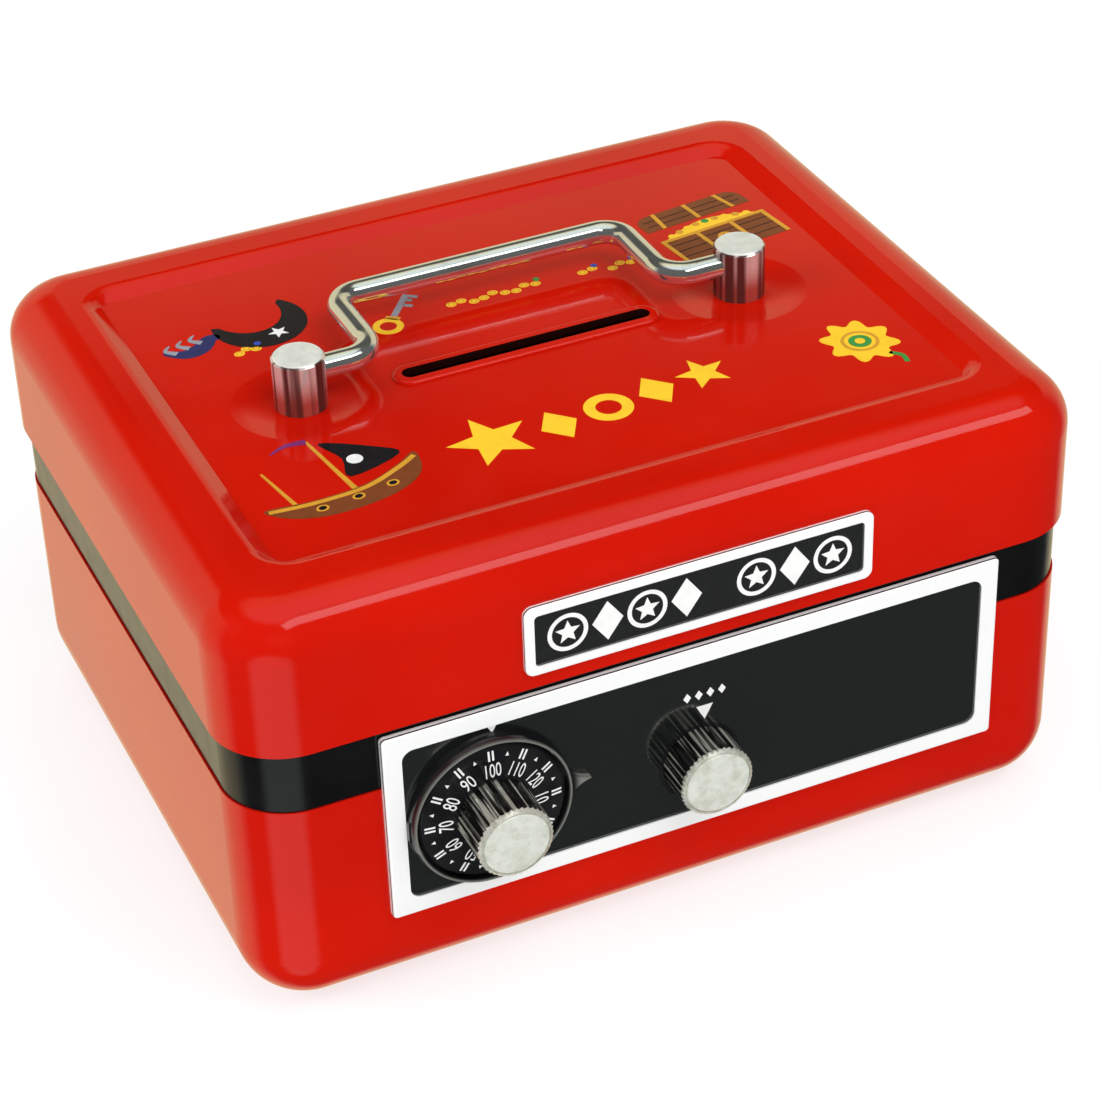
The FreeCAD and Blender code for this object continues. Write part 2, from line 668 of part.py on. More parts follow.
def hinge_pin():
    half = HINGE_LENGTH / 2
    pin = cylinder(PIN_R, (-half, HINGE_Y, HINGE_Z), X_AXIS, HINGE_LENGTH)
    heads = []
    for start in (-half - PIN_HEAD_T, half):
        heads.append(cylinder(PIN_R + PIN_HEAD_T, (start, HINGE_Y, HINGE_Z), X_AXIS, PIN_HEAD_T))
    return joined([pin] + heads)


def hinge_rivets(z, outer_y, inner_y):
    """Three rivets with a domed head outside and a flat tail inside."""
    rivets = []
    for x in HINGE_RIVET_X:
        shank = across(RIVET_R, x, z, inner_y, outer_y)
        tail = across(RIVET_TAIL_R, x, z, inner_y - RIVET_TAIL_T, inner_y)
        dome = [(RIVET_HEAD_R * out, outer_y + RIVET_HEAD_T * up) for out, up in RIVET_DOME]
        head = turned(x, z, [(0, outer_y), (RIVET_HEAD_R, outer_y)] + dome + [(0, outer_y + RIVET_HEAD_T)])
        rivets.append(joined([shank, tail, head]))
    return Part.makeCompound(rivets)


def hinge_rivets_base():
    outer = BASE_BACK_Y + SEAT + LEAF_T + SEAT
    inner = BASE_BACK_Y - SHEET - RUN - COLLAR_T - SEAT
    return hinge_rivets(HINGE_RIVET_BASE_Z, outer, inner)


def hinge_rivets_lid():
    outer = LID_BACK_Y + SEAT + LEAF_T + SEAT
    inner = LID_BACK_Y - SHEET - SEAT
    return hinge_rivets(HINGE_RIVET_LID_Z, outer, inner)


# ---- lid ----------------------------------------------------------------
def lid_shell():
    """Deep-drawn lid with its sunk panel and the raised lip of the coin slot."""
    inside = lid_form(SHEET)
    below = LID_EDGE_Z - SHEET
    inside = inside.fuse(collar_block(SHEET, below - 1, below + LID_TOP_R))
    shell = lid_form(0.0).cut(inside)
    lip = slot_block(SLOT_HALF + SLOT_LIP, SLOT_W + 2 * SLOT_LIP, PANEL_Z - SHEET / 2, PANEL_Z + SLOT_LIP_H)
    lip = lip.makeFillet(SLOT_LIP_R, edges_at(lip, PANEL_Z + SLOT_LIP_H))
    shell = shell.fuse(lip)
    holes = [slot_block(SLOT_HALF, SLOT_W, PANEL_UNDER_Z - 1, TOP_Z + 1)]
    for x in (-POST_X, POST_X):
        holes.append(cylinder(SCREW_R + RUN, (x, POST_Y, DISH_UNDER_Z - 1), Z_AXIS, SHEET + 2))
    for x in prong_columns():
        holes.append(across(PRONG_R + RUN, x, NAME_CZ, LID_FRONT_Y - 1, LID_FRONT_Y + SHEET + 1))
    for x in catch_rivet_columns():
        holes.append(across(RIVET_R + SEAT, x, CATCH_RIVET_Z, LID_FRONT_Y - 1, LID_FRONT_Y + SHEET + 1))
    holes += hinge_holes(HINGE_RIVET_LID_Z, LID_BACK_Y - SHEET - 1, LID_BACK_Y + 1)
    return shell.cut(holes)


def prong_columns():
    return (NAME_CX - NAME_PRONG_X, NAME_CX + NAME_PRONG_X)


def catch_rivet_columns():
    return (PUSH_X - CATCH_RIVET_X, PUSH_X + CATCH_RIVET_X)


def nameplate():
    """Small framed plate on the lid's front, held by two prongs."""
    back = LID_FRONT_Y - SEAT
    front = back - NAME_T
    blank = plate(NAME_CX, NAME_CZ, NAME_W, NAME_H, NAME_CORNER_R, front, back)
    blank = blank.makeFillet(NAME_EDGE_R, edges_at_depth(blank, front))
    field = plate(NAME_CX, NAME_CZ, NAME_W - 2 * NAME_BORDER, NAME_H - 2 * NAME_BORDER,
                  NAME_FIELD_R, front - 1, front + NAME_BORDER_H)
    prongs = [across(PRONG_R, x, NAME_CZ, (front + back) / 2, LID_FRONT_Y + SHEET + PRONG_END)
              for x in prong_columns()]
    return joined([blank.cut(field)] + prongs)


def handle_post(side):
    """Turned post with a blind cross hole for the bail and a tapped hole below."""
    x = side * POST_X
    seat_z = DISH_Z + SEAT
    post = cylinder(POST_R, (x, POST_Y, seat_z), Z_AXIS, POST_TOP_Z - seat_z)
    post = post.makeChamfer(POST_CHAMFER, edges_at(post, POST_TOP_Z))
    x0, x1 = sorted((side * (POST_X - POST_R - 1), side * SOCKET_END_X))
    socket = cylinder(BAIL_R + RUN, (x0, POST_Y, PIVOT_Z), X_AXIS, x1 - x0)
    tapped = cylinder(SCREW_R + SEAT, (x, POST_Y, DISH_Z - 1), Z_AXIS, SCREW_TOP_Z - DISH_Z + THREAD_END_GAP)
    return post.cut([socket, tapped])


def post_screws():
    """Pan-head screws up through the lid into the posts, with a cross recess."""
    head_z = DISH_UNDER_Z - 2 * SEAT - WASHER_T
    screws = []
    for x in (-POST_X, POST_X):
        shank = cylinder(SCREW_R, (x, POST_Y, head_z), Z_AXIS, SCREW_TOP_Z - head_z)
        head = cylinder(SCREW_HEAD_R, (x, POST_Y, head_z - SCREW_HEAD_T), Z_AXIS, SCREW_HEAD_T)
        head = head.makeFillet(SCREW_HEAD_T / 3, edges_at(head, head_z - SCREW_HEAD_T))
        low = head_z - SCREW_HEAD_T - 1
        high = low + 1 + RECESS_DEPTH
        cross = [box(x - a, x + a, POST_Y - b, POST_Y + b, low, high)
                 for a, b in ((RECESS_HALF, RECESS_W / 2), (RECESS_W / 2, RECESS_HALF))]
        screws.append(joined([shank, head]).cut(cross))
    return Part.makeCompound(screws)


def post_washers():
    top = DISH_UNDER_Z - SEAT
    washers = []
    for x in (-POST_X, POST_X):
        disc = cylinder(WASHER_R, (x, POST_Y, top - WASHER_T), Z_AXIS, WASHER_T)
        hole = cylinder(SCREW_R + RUN, (x, POST_Y, top - WASHER_T - 1), Z_AXIS, WASHER_T + 2)
        washers.append(disc.cut(hole))
    return Part.makeCompound(washers)


def lid_catch():
    """Spring tongue that hangs from the lid and carries the latch window."""
    x0 = PUSH_X - CATCH_HALF
    x1 = PUSH_X + CATCH_HALF
    fixed_y = LID_FRONT_Y + SHEET + SEAT
    pad = box(x0, x1, fixed_y, fixed_y + CATCH_T, CATCH_STEP_Z, CATCH_Z[1])
    step = box(x0, x1, fixed_y, CATCH_Y + CATCH_T, CATCH_STEP_Z, CATCH_STEP_Z + CATCH_T)
    tongue = box(x0, x1, CATCH_Y, CATCH_Y + CATCH_T, CATCH_Z[0], CATCH_STEP_Z + CATCH_T)
    window = box(PUSH_X - WINDOW_HALF, PUSH_X + WINDOW_HALF, CATCH_Y - 1, CATCH_Y + 2, *WINDOW_Z)
    holes = [across(RIVET_R + SEAT, x, CATCH_RIVET_Z, fixed_y - 1, fixed_y + 2)
             for x in catch_rivet_columns()]
    return joined([pad, step, tongue]).cut([window] + holes)


def catch_rivets():
    """Two rivets, flush outside under the nameplate, headed inside."""
    head_y = LID_FRONT_Y + SHEET + SEAT + CATCH_T + SEAT
    rivets = []
    for x in catch_rivet_columns():
        shank = across(RIVET_R, x, CATCH_RIVET_Z, LID_FRONT_Y, head_y)
        head = across(RIVET_HEAD_R, x, CATCH_RIVET_Z, head_y, head_y + RIVET_HEAD_T)
        rivets.append(joined([shank, head]))
    return Part.makeCompound(rivets)


# ---- handle -------------------------------------------------------------
def handle_bail():
    """Round-rod bail: pivot end, arm and grip, mirrored, lying flat to the back."""
    grip_y = POST_Y + BAIL_REACH
    start = V(-BAIL_END_X, POST_Y, PIVOT_Z)
    edges = []
    for side in (-1, 1):
        end = V(side * BAIL_END_X, POST_Y, PIVOT_Z)
        arm_x = side * BAIL_ARM_X
        turn_low = V(side * (BAIL_ARM_X + BEND_LOW), POST_Y, PIVOT_Z)
        arm_low = V(arm_x, POST_Y + BEND_LOW, PIVOT_Z)
        arm_high = V(arm_x, grip_y - BEND_HIGH, PIVOT_Z)
        grip_end = V(side * (BAIL_ARM_X - BEND_HIGH), grip_y, PIVOT_Z)
        half = math.sqrt(0.5)
        mid_low = V(side * (BAIL_ARM_X + BEND_LOW * (1 - half)),
                    POST_Y + BEND_LOW * (1 - half), PIVOT_Z)
        mid_high = V(side * (BAIL_ARM_X - BEND_HIGH * (1 - half)),
                     grip_y - BEND_HIGH * (1 - half), PIVOT_Z)
        edges.append(Part.makeLine(end, turn_low))
        edges.append(Part.Arc(turn_low, mid_low, arm_low).toShape())
        edges.append(Part.makeLine(arm_low, arm_high))
        edges.append(Part.Arc(arm_high, mid_high, grip_end).toShape())
    grip_x = BAIL_ARM_X - BEND_HIGH
    edges.append(Part.makeLine(V(-grip_x, grip_y, PIVOT_Z), V(grip_x, grip_y, PIVOT_Z)))
    path = Part.Wire(Part.__sortEdges__(edges))
    section = Part.Wire(Part.makeCircle(BAIL_R, start, X_AXIS))
    return path.makePipeShell([section], True, True)


# ---- dial ---------------------------------------------------------------
def dial_disc():
    """Numbered disc: a flat middle, a gentle cone and a rounded edge."""
    disc = turned(DIAL_X, DIAL_Z, [
        (SPINDLE_R + SEAT, DISC_BACK_Y), (SPINDLE_R + SEAT, DISC_FRONT_Y), (DISC_FLAT_R, DISC_FRONT_Y),
        (DISC_R - DISC_EDGE_IN, DISC_EDGE_Y), (DISC_R, DISC_EDGE_Y + DISC_EDGE_BACK),
        (DISC_R, DISC_BACK_Y)])
    return disc


def dial_knob():
    bar = knurled_bar(DIAL_X, DIAL_Z, DIAL_FRONT_Y, DISC_FRONT_Y - SEAT)
    bore = across(SPINDLE_R + SEAT, DIAL_X, DIAL_Z, DIAL_FRONT_Y + DIAL_BORE_DEPTH, DISC_FRONT_Y + 1)
    return bar.cut([cap_recess(DIAL_X, DIAL_Z, DIAL_FRONT_Y), bore])


def dial_knob_cap():
    return knob_cap(DIAL_X, DIAL_Z, DIAL_FRONT_Y)


def dial_spindle():
    front_y = DIAL_FRONT_Y + DIAL_BORE_DEPTH + BORE_END_GAP
    spindle = across(SPINDLE_R, DIAL_X, DIAL_Z, front_y, SPINDLE_END_Y)
    groove_y = WHEEL_FRONT_Y + WHEEL_T + SEAT
    groove = ring_across(SPINDLE_R + 1, SPINDLE_R - GROOVE_DEPTH, DIAL_X, DIAL_Z,
                         groove_y, groove_y + CLIP_T + 2 * SEAT)
    return spindle.cut(groove)


def lock_wheel():
    """Wheel with two gates in its rim that let the latch plate's fence through."""
    back_y = WHEEL_FRONT_Y + WHEEL_T
    wheel = across(WHEEL_R, DIAL_X, DIAL_Z, WHEEL_FRONT_Y, back_y)
    hub = across(WHEEL_HUB_R, DIAL_X, DIAL_Z, HUB_FRONT_Y, back_y)
    bore = across(SPINDLE_R + SEAT, DIAL_X, DIAL_Z, HUB_FRONT_Y - 1, back_y + 1)
    fence_rise = PUSH_Z - DIAL_Z
    gates = []
    for index in range(GATE_COUNT):
        gate = box(WHEEL_R - GATE_DEPTH, WHEEL_R + 1, WHEEL_FRONT_Y - 1, back_y + 1,
                   fence_rise - GATE_W / 2, fence_rise + GATE_W / 2)
        gate.rotate(V(0, 0, 0), Y_AXIS, 360.0 * index / GATE_COUNT)
        gate.translate(V(DIAL_X, 0, DIAL_Z))
        gates.append(gate)
    return joined([wheel, hub]).cut([bore] + gates)


def spindle_clip():
    y0 = WHEEL_FRONT_Y + WHEEL_T + 2 * SEAT
    return retaining_clip(DIAL_X, DIAL_Z, y0, SPINDLE_R)


# ---- push latch ---------------------------------------------------------
def push_knob():
    bar = knurled_bar(PUSH_X, PUSH_Z, PUSH_FRONT_Y, KNOB_TAIL_Y)
    bore = across(ROD_R + SEAT, PUSH_X, PUSH_Z, PUSH_FRONT_Y + PUSH_BORE_DEPTH, KNOB_TAIL_Y + 1)
    return bar.cut([cap_recess(PUSH_X, PUSH_Z, PUSH_FRONT_Y), bore])


def push_knob_cap():
    return knob_cap(PUSH_X, PUSH_Z, PUSH_FRONT_Y)


def push_rod():
    rod = across(ROD_R, PUSH_X, PUSH_Z, PUSH_FRONT_Y + PUSH_BORE_DEPTH + BORE_END_GAP, ROD_END_Y)
    groove_y = BRACKET_Y + BRACKET_T + SEAT
    groove = ring_across(ROD_R + 1, ROD_R - GROOVE_DEPTH, PUSH_X, PUSH_Z,
                         groove_y, groove_y + CLIP_T + 2 * SEAT)
    return rod.cut(groove)


def latch_plate():
    """Flat plate on the rod: an arm up to the hooked nose and a fence arm to the wheel."""
    y0, y1 = PLATE_Y
    hub = across(LATCH_HUB_R, PUSH_X, PUSH_Z, y0, y1)
    fence = box(FENCE_TIP_X, PUSH_X, y0, y1, PUSH_Z - ARM_HALF, PUSH_Z + ARM_HALF)
    upright = box(PUSH_X - NOSE_HALF, PUSH_X + NOSE_HALF, y0, y1, PUSH_Z, NOSE_Z[1])
    root_y = y0 + NOSE_ROOT
    nose_points = [(root_y, NOSE_Z[0]), (NOSE_Y, NOSE_Z[0]), (NOSE_Y, NOSE_Z[0] + NOSE_LIP),
                   (root_y, NOSE_Z[1])]
    corners = [V(PUSH_X - NOSE_HALF, y, z) for y, z in nose_points]
    nose = Part.Face(Part.makePolygon(corners + corners[:1])).extrude(V(2 * NOSE_HALF, 0, 0))
    bore = across(ROD_R + SEAT, PUSH_X, PUSH_Z, y0 - 1, y1 + 1)
    return joined([hub, fence, upright, nose]).cut(bore)


def push_spring():
    """Coil spring on the rod between the latch plate and the bracket."""
    length = BRACKET_Y - PLATE_Y[1] - 2 * SPRING_WIRE_R - 2 * SEAT
    helix = Part.makeHelix(SPRING_PITCH, length, SPRING_R)
    section = Part.Wire(Part.makeCircle(SPRING_WIRE_R, V(SPRING_R, 0, 0), Y_AXIS))
    coil = Part.Wire(helix).makePipeShell([section], True, True)
    coil.rotate(V(0, 0, 0), X_AXIS, -90)
    coil.translate(V(PUSH_X, PLATE_Y[1] + SPRING_WIRE_R + SEAT, PUSH_Z))
    return coil


def rod_clip():
    return retaining_clip(PUSH_X, PUSH_Z, BRACKET_Y + BRACKET_T + 2 * SEAT, ROD_R)


# ---- coin tray ----------------------------------------------------------
def coin_tray():
    """Lift-out tray: a row of coin wells in front of one long note compartment."""
    rim_z = LEDGE_TOP_Z + SEAT
    top_z = rim_z + TRAY_RIM_T
    cy = (TRAY_Y[0] + TRAY_Y[1]) / 2
    depth = TRAY_Y[1] - TRAY_Y[0]
    body = rounded_block(2 * TRAY_HALF_X, depth, TRAY_CORNER_R, TRAY_FLOOR_Z, top_z, cy)
    body = body.makeFillet(WELL_FLOOR_R, edges_at(body, TRAY_FLOOR_Z))
    rim = rounded_block(2 * TRAY_RIM_HALF_X, depth + 2 * TRAY_RIM, TRAY_RIM_CORNER_R, rim_z, top_z, cy)
    return joined([body, rim]).cut(tray_wells(top_z))


def tray_wells(top_z):
    """Rounded hollows of the tray."""
    inner_x = TRAY_HALF_X - TRAY_WALL
    pitch = (2 * inner_x + TRAY_WALL) / COIN_WELLS
    wells = []
    for index in range(COIN_WELLS):
        x0 = -inner_x + index * pitch
        wells.append(well(x0, x0 + pitch - TRAY_WALL, TRAY_Y[0] + TRAY_WALL, TRAY_SPLIT_Y - TRAY_WALL, top_z))
    wells.append(well(-inner_x, inner_x, TRAY_SPLIT_Y, TRAY_Y[1] - TRAY_WALL, top_z))
    return wells


def well(x0, x1, y0, y1, top_z):
    floor_z = TRAY_FLOOR_Z + TRAY_FLOOR_T
    hollow = box(x0, x1, y0, y1, floor_z, top_z + 1)
    hollow = hollow.makeFillet(WELL_CORNER_R, edges_along(hollow, Z_AXIS))
    return hollow.makeFillet(WELL_FLOOR_R, edges_at(hollow, floor_z))


# ---- all nodes ----------------------------------------------------------
NODES = {
    "base_shell": base_shell,
    "inner_collar": inner_collar,
    "faceplate": faceplate,
    "dial_bezel": dial_bezel,
    "dial_bush": dial_bush,
    "dial_bush_nut": dial_bush_nut,
    "spindle_washer": spindle_washer,
    "push_bush": push_bush,
    "lock_bracket": lock_bracket,
    "lock_rivets": lock_rivets,
    "hinge_leaf_base": hinge_leaf_base,
    "hinge_leaf_lid": hinge_leaf_lid,
    "hinge_pin": hinge_pin,
    "hinge_rivets_base": hinge_rivets_base,
    "hinge_rivets_lid": hinge_rivets_lid,
    "lid_shell": lid_shell,
    "nameplate": nameplate,
    "handle_post_left": lambda: handle_post(-1),
    "handle_post_right": lambda: handle_post(1),
    "post_screws": post_screws,
    "post_washers": post_washers,
    "lid_catch": lid_catch,
    "catch_rivets": catch_rivets,
    "handle_bail": handle_bail,
    "dial_disc": dial_disc,
    "dial_knob": dial_knob,
    "dial_knob_cap": dial_knob_cap,
    "dial_spindle": dial_spindle,
    "lock_wheel": lock_wheel,
    "spindle_clip": spindle_clip,
    "push_knob": push_knob,
    "push_knob_cap": push_knob_cap,
    "push_rod": push_rod,
    "latch_plate": latch_plate,
    "push_spring": push_spring,
    "rod_clip": rod_clip,
    "coin_tray": coin_tray,
}

os.makedirs(PARTS, exist_ok=True)
for node_name, make in NODES.items():
    save(node_name, make())
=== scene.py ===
"""Looks for the toy cash-box coin bank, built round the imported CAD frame.

Blender works in metres. Sizes below are written in millimetres and turned
into metres with MM. Positions come from the CAD nodes' own boxes.
"""
import bmesh
import bpy
import math
from mathutils import Matrix, Vector


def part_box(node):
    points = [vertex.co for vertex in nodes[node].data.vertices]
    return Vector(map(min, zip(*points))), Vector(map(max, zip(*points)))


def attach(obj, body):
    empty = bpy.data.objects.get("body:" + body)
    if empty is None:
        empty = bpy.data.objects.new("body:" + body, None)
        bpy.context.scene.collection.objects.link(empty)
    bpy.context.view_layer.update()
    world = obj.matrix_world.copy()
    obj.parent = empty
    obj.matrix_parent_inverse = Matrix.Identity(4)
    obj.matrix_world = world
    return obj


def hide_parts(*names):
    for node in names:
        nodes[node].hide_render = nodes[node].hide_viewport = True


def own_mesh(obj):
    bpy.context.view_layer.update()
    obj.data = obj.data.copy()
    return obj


MM = 0.001

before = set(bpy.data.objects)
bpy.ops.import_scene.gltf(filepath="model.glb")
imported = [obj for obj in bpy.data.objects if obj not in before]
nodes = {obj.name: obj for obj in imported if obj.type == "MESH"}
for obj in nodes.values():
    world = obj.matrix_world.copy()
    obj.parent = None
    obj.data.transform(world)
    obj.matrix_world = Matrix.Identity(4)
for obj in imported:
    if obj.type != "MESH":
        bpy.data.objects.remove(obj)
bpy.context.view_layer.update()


# ---- places taken from the frame ---------------------------------------
def middle(node):
    """Centre of a CAD node's box, in millimetres."""
    low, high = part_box(node)
    return (low + high) / 2 / MM


def lowest(node):
    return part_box(node)[0] / MM


def highest(node):
    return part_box(node)[1] / MM


DIAL = middle("dial_disc")
PUSH = middle("push_knob")
NAME = middle("nameplate")
DISC_R = (highest("dial_disc").x - lowest("dial_disc").x) / 2
KNOB_R = (highest("dial_knob").x - lowest("dial_knob").x) / 2
PANEL_DROP = 1.7         # the lid's panel lies this far below its border
PANEL_Z = highest("lid_shell").z - PANEL_DROP
FACE_BORDER = 3.2        # width of the faceplate's raised border
FACE_STEP = 0.35         # how far the field lies behind that border
FIELD_Y = lowest("faceplate").y + FACE_STEP
FIELD_TOP_Z = highest("faceplate").z - FACE_BORDER
NAME_STEP = 0.3
NAME_FIELD_Y = lowest("nameplate").y + NAME_STEP
DISC_FRONT_Y = lowest("dial_disc").y
DISC_FLAT_R = 7.2        # the disc is flat to here, then slopes back
DISC_SLOPE_END_R = DISC_R - 0.35
DISC_EDGE_DROP = 0.6
POST_TOP_Z = highest("handle_post_left").z
SLOT_Y = middle("handle_post_left").y - 0.8
SLOT_HALF_W = 1.5        # half the coin slot's width
SLOT_REACH = 22.9 - SLOT_HALF_W      # from the slot's middle to where its ends turn round


# ---- shader building ----------------------------------------------------
class Shader:
    """One node-based material with a few short ways to wire it. Depths and sizes are in mm."""

    def __init__(self, name):
        self.material = bpy.data.materials.new(name)
        self.material.use_nodes = True
        self.tree = self.material.node_tree
        self.bsdf = self.tree.nodes["Principled BSDF"]
        self.coords = self.tree.nodes.new("ShaderNodeTexCoord").outputs["Object"]
        self.normal = None

    def put(self, socket, value):
        """Wire a socket or set its value."""
        if isinstance(value, bpy.types.NodeSocket):
            self.tree.links.new(value, socket)
        else:
            socket.default_value = value

    def set(self, **values):
        """Set Principled inputs; base_color names the input Base Color."""
        for key, value in values.items():
            label = key.replace("_", " ").title().replace("Ior", "IOR")
            self.put(self.bsdf.inputs[label], value)

    def maths(self, operation, first, second=0.0):
        node = self.tree.nodes.new("ShaderNodeMath")
        node.operation = operation
        self.put(node.inputs[0], first)
        self.put(node.inputs[1], second)
        return node.outputs[0]

    def axis(self, letter, source=None):
        """One coordinate of the surface point, in metres."""
        node = self.tree.nodes.new("ShaderNodeSeparateXYZ")
        self.put(node.inputs[0], source or self.coords)
        return node.outputs["XYZ".index(letter)]

    def stretched(self, stretch):
        node = self.tree.nodes.new("ShaderNodeMapping")
        self.put(node.inputs["Vector"], self.coords)
        node.inputs["Scale"].default_value = stretch
        return node.outputs[0]

    def noise(self, size_mm, detail=2.0, rough=0.5, stretch=None):
        """Noise whose features are about this size."""
        node = self.tree.nodes.new("ShaderNodeTexNoise")
        self.put(node.inputs["Vector"], self.stretched(stretch) if stretch else self.coords)
        node.inputs["Scale"].default_value = 1.0 / (size_mm * MM)
        node.inputs["Detail"].default_value = detail
        node.inputs["Roughness"].default_value = rough
        return node.outputs["Fac"]

    def spread(self, value, low, high, from_low=0.3, from_high=0.7):
        """Map a value onto a range, with soft ends."""
        node = self.tree.nodes.new("ShaderNodeMapRange")
        node.interpolation_type = "SMOOTHSTEP"
        self.put(node.inputs["Value"], value)
        self.put(node.inputs["From Min"], from_low)
        self.put(node.inputs["From Max"], from_high)
        self.put(node.inputs["To Min"], low)
        self.put(node.inputs["To Max"], high)
        return node.outputs[0]

    def blend(self, share, first, second):
        """Mix two colours, sockets or values."""
        node = self.tree.nodes.new("ShaderNodeMix")
        node.data_type = "RGBA"
        self.put(node.inputs["Factor"], share)
        self.put(node.inputs["A"], rgba(first))
        self.put(node.inputs["B"], rgba(second))
        return node.outputs["Result"]

    def mix_value(self, share, first, second):
        node = self.tree.nodes.new("ShaderNodeMix")
        node.data_type = "FLOAT"
        self.put(node.inputs["Factor"], share)
        self.put(node.inputs["A"], first)
        self.put(node.inputs["B"], second)
        return node.outputs["Result"]

    def bump(self, height, depth_mm, strength=1.0):
        """Raise the surface by a height field; several calls add up."""
        node = self.tree.nodes.new("ShaderNodeBump")
        node.inputs["Strength"].default_value = strength
        node.inputs["Distance"].default_value = depth_mm * MM
        self.put(node.inputs["Height"], height)
        if self.normal is not None:
            self.put(node.inputs["Normal"], self.normal)
        self.normal = node.outputs[0]
        self.put(self.bsdf.inputs["Normal"], self.normal)

    def soft_edges(self, radius_mm):
        """Round off sharp edges in the shading."""
        node = self.tree.nodes.new("ShaderNodeBevel")
        node.samples = 4
        node.inputs["Radius"].default_value = radius_mm * MM
        self.normal = node.outputs[0]
        self.put(self.bsdf.inputs["Normal"], self.normal)

    def length(self, dx, dy):
        square = self.maths("ADD", self.maths("MULTIPLY", dx, dx), self.maths("MULTIPLY", dy, dy))
        return self.maths("SQRT", square)

    def distance_from(self, x_mm, z_mm):
        """Distance from a line along Y, in metres."""
        dx = self.maths("SUBTRACT", self.axis("X"), x_mm * MM)
        dz = self.maths("SUBTRACT", self.axis("Z"), z_mm * MM)
        return self.length(dx, dz)


def rgba(colour):
    return (*colour, 1.0) if isinstance(colour, tuple) and len(colour) == 3 else colour


# ---- materials ----------------------------------------------------------
SPUN_RING_PITCH = 0.16


def red_enamel(name="red_enamel", slot=False):
    """Glossy baked enamel; on the lid, the walls of the coin slot get painted shade."""
    shader = Shader(name)
    cloud = shader.noise(45, 1.0)
    colour = shader.blend(shader.spread(cloud, 0.0, 1.0), (0.60, 0.008, 0.001), (0.54, 0.006, 0.001))
    dust = shader.spread(shader.noise(1.1, 4.0, 0.7), 0.0, 0.06, 0.66, 0.80)
    colour = shader.blend(dust, colour, (0.75, 0.09, 0.05))
    if slot:
        # painted shade: the coin slot's walls are coloured near black, as if in shadow
        across = shader.maths("SUBTRACT", shader.axis("Y"), SLOT_Y * MM)
        along = shader.maths("SUBTRACT", shader.maths("ABSOLUTE", shader.axis("X")), SLOT_REACH * MM)
        reach = shader.length(shader.maths("MAXIMUM", along, 0.0), across)
        slot_shade = shader.maths("LESS_THAN", reach, (SLOT_HALF_W + 0.03) * MM)
        colour = shader.blend(slot_shade, colour, (0.016, 0.003, 0.002))
    shader.set(base_color=colour)
    shader.set(roughness=shader.spread(shader.noise(9, 3.0), 0.05, 0.10), ior=1.40)
    shader.bump(shader.noise(22, 0.0), 0.035)
    shader.bump(shader.noise(1.3, 1.0), 0.0022)
    return shader.material


def black_enamel(name, tint, roughness):
    """Smooth black enamel with a slightly lighter haze."""
    shader = Shader(name)
    haze = shader.spread(shader.noise(12, 3.0), 0.0, 1.0)
    shader.set(base_color=shader.blend(haze, tint, tuple(c * 1.7 + 0.001 for c in tint)))
    shader.set(roughness=shader.spread(shader.noise(5, 4.0, 0.6), roughness, roughness + 0.1),
               ior=1.40)
    shader.bump(shader.noise(14, 0.0), 0.02)
    shader.bump(shader.noise(0.9, 2.0), 0.0018)
    return shader.material


def printed_plate(name, field_y, field_colour, grain_mm):
    """Silver border and back round a fine-textured black field, told apart by depth."""
    shader = Shader(name)
    depth = shader.axis("Y")
    border = shader.spread(depth, 1.0, 0.0, (field_y - 0.12) * MM, (field_y - 0.06) * MM)
    back = shader.spread(depth, 0.0, 1.0, (field_y + 0.15) * MM, (field_y + 0.25) * MM)
    border = shader.maths("MAXIMUM", border, back)
    speck = shader.noise(0.55, 3.0, 0.7)
    field = shader.blend(shader.spread(speck, 0.0, 1.0, 0.35, 0.75), field_colour,
                         tuple(c * 1.5 + 0.002 for c in field_colour))
    tarnish = shader.spread(shader.noise(3.0, 3.0, 0.6), 0.0, 0.10, 0.56, 0.78)
    silver = shader.blend(tarnish, (0.95, 0.96, 0.95), (0.74, 0.76, 0.68))
    shader.set(base_color=shader.blend(border, field, silver))
    shader.set(metallic=shader.mix_value(border, 0.0, 0.1))
    silver_rough = shader.spread(shader.noise(1.6, 3.0), 0.30, 0.34)
    shader.set(roughness=shader.mix_value(border, 0.10, silver_rough), ior=shader.mix_value(border, 2.3, 1.5))
    shader.bump(shader.noise(grain_mm, 2.0, 0.6), 0.0004)
    return shader.material


def dial_black(name, shine, rim=False):
    """Gloss black; on the bezel a painted highlight runs round the ring's top edge and a painted sheen
    lightens the ear flanges.
    """
    shader = Shader(name)
    swirl = shader.noise(6, 3.0)
    black = shader.blend(shader.spread(swirl, 0.0, 1.0), (0.006, 0.006, 0.007), (0.014, 0.014, 0.015))
    if rim:
        # painted highlight on the ring's top edge and painted sheen on the ear flanges, mixed into the black
        radius = shader.distance_from(DIAL.x, DIAL.z)
        crest_highlight = shader.maths("ABSOLUTE", shader.maths("SUBTRACT", radius, (DISC_R + 0.8) * MM))
        crest_highlight = shader.spread(crest_highlight, 0.30, 0.0, 0.05 * MM, 0.35 * MM)
        ear_sheen = shader.spread(radius, 0.0, 0.34, (DISC_R + 1.7) * MM, (DISC_R + 3.2) * MM)
        black = shader.blend(shader.maths("ADD", crest_highlight, ear_sheen), black, (0.55, 0.56, 0.50))
    shader.set(base_color=black)
    shader.set(roughness=shader.spread(shader.noise(2.5, 3.0, 0.6), 0.06, 0.14), ior=shine)
    shader.bump(shader.noise(7, 0.0), 0.012)
    return shader.material


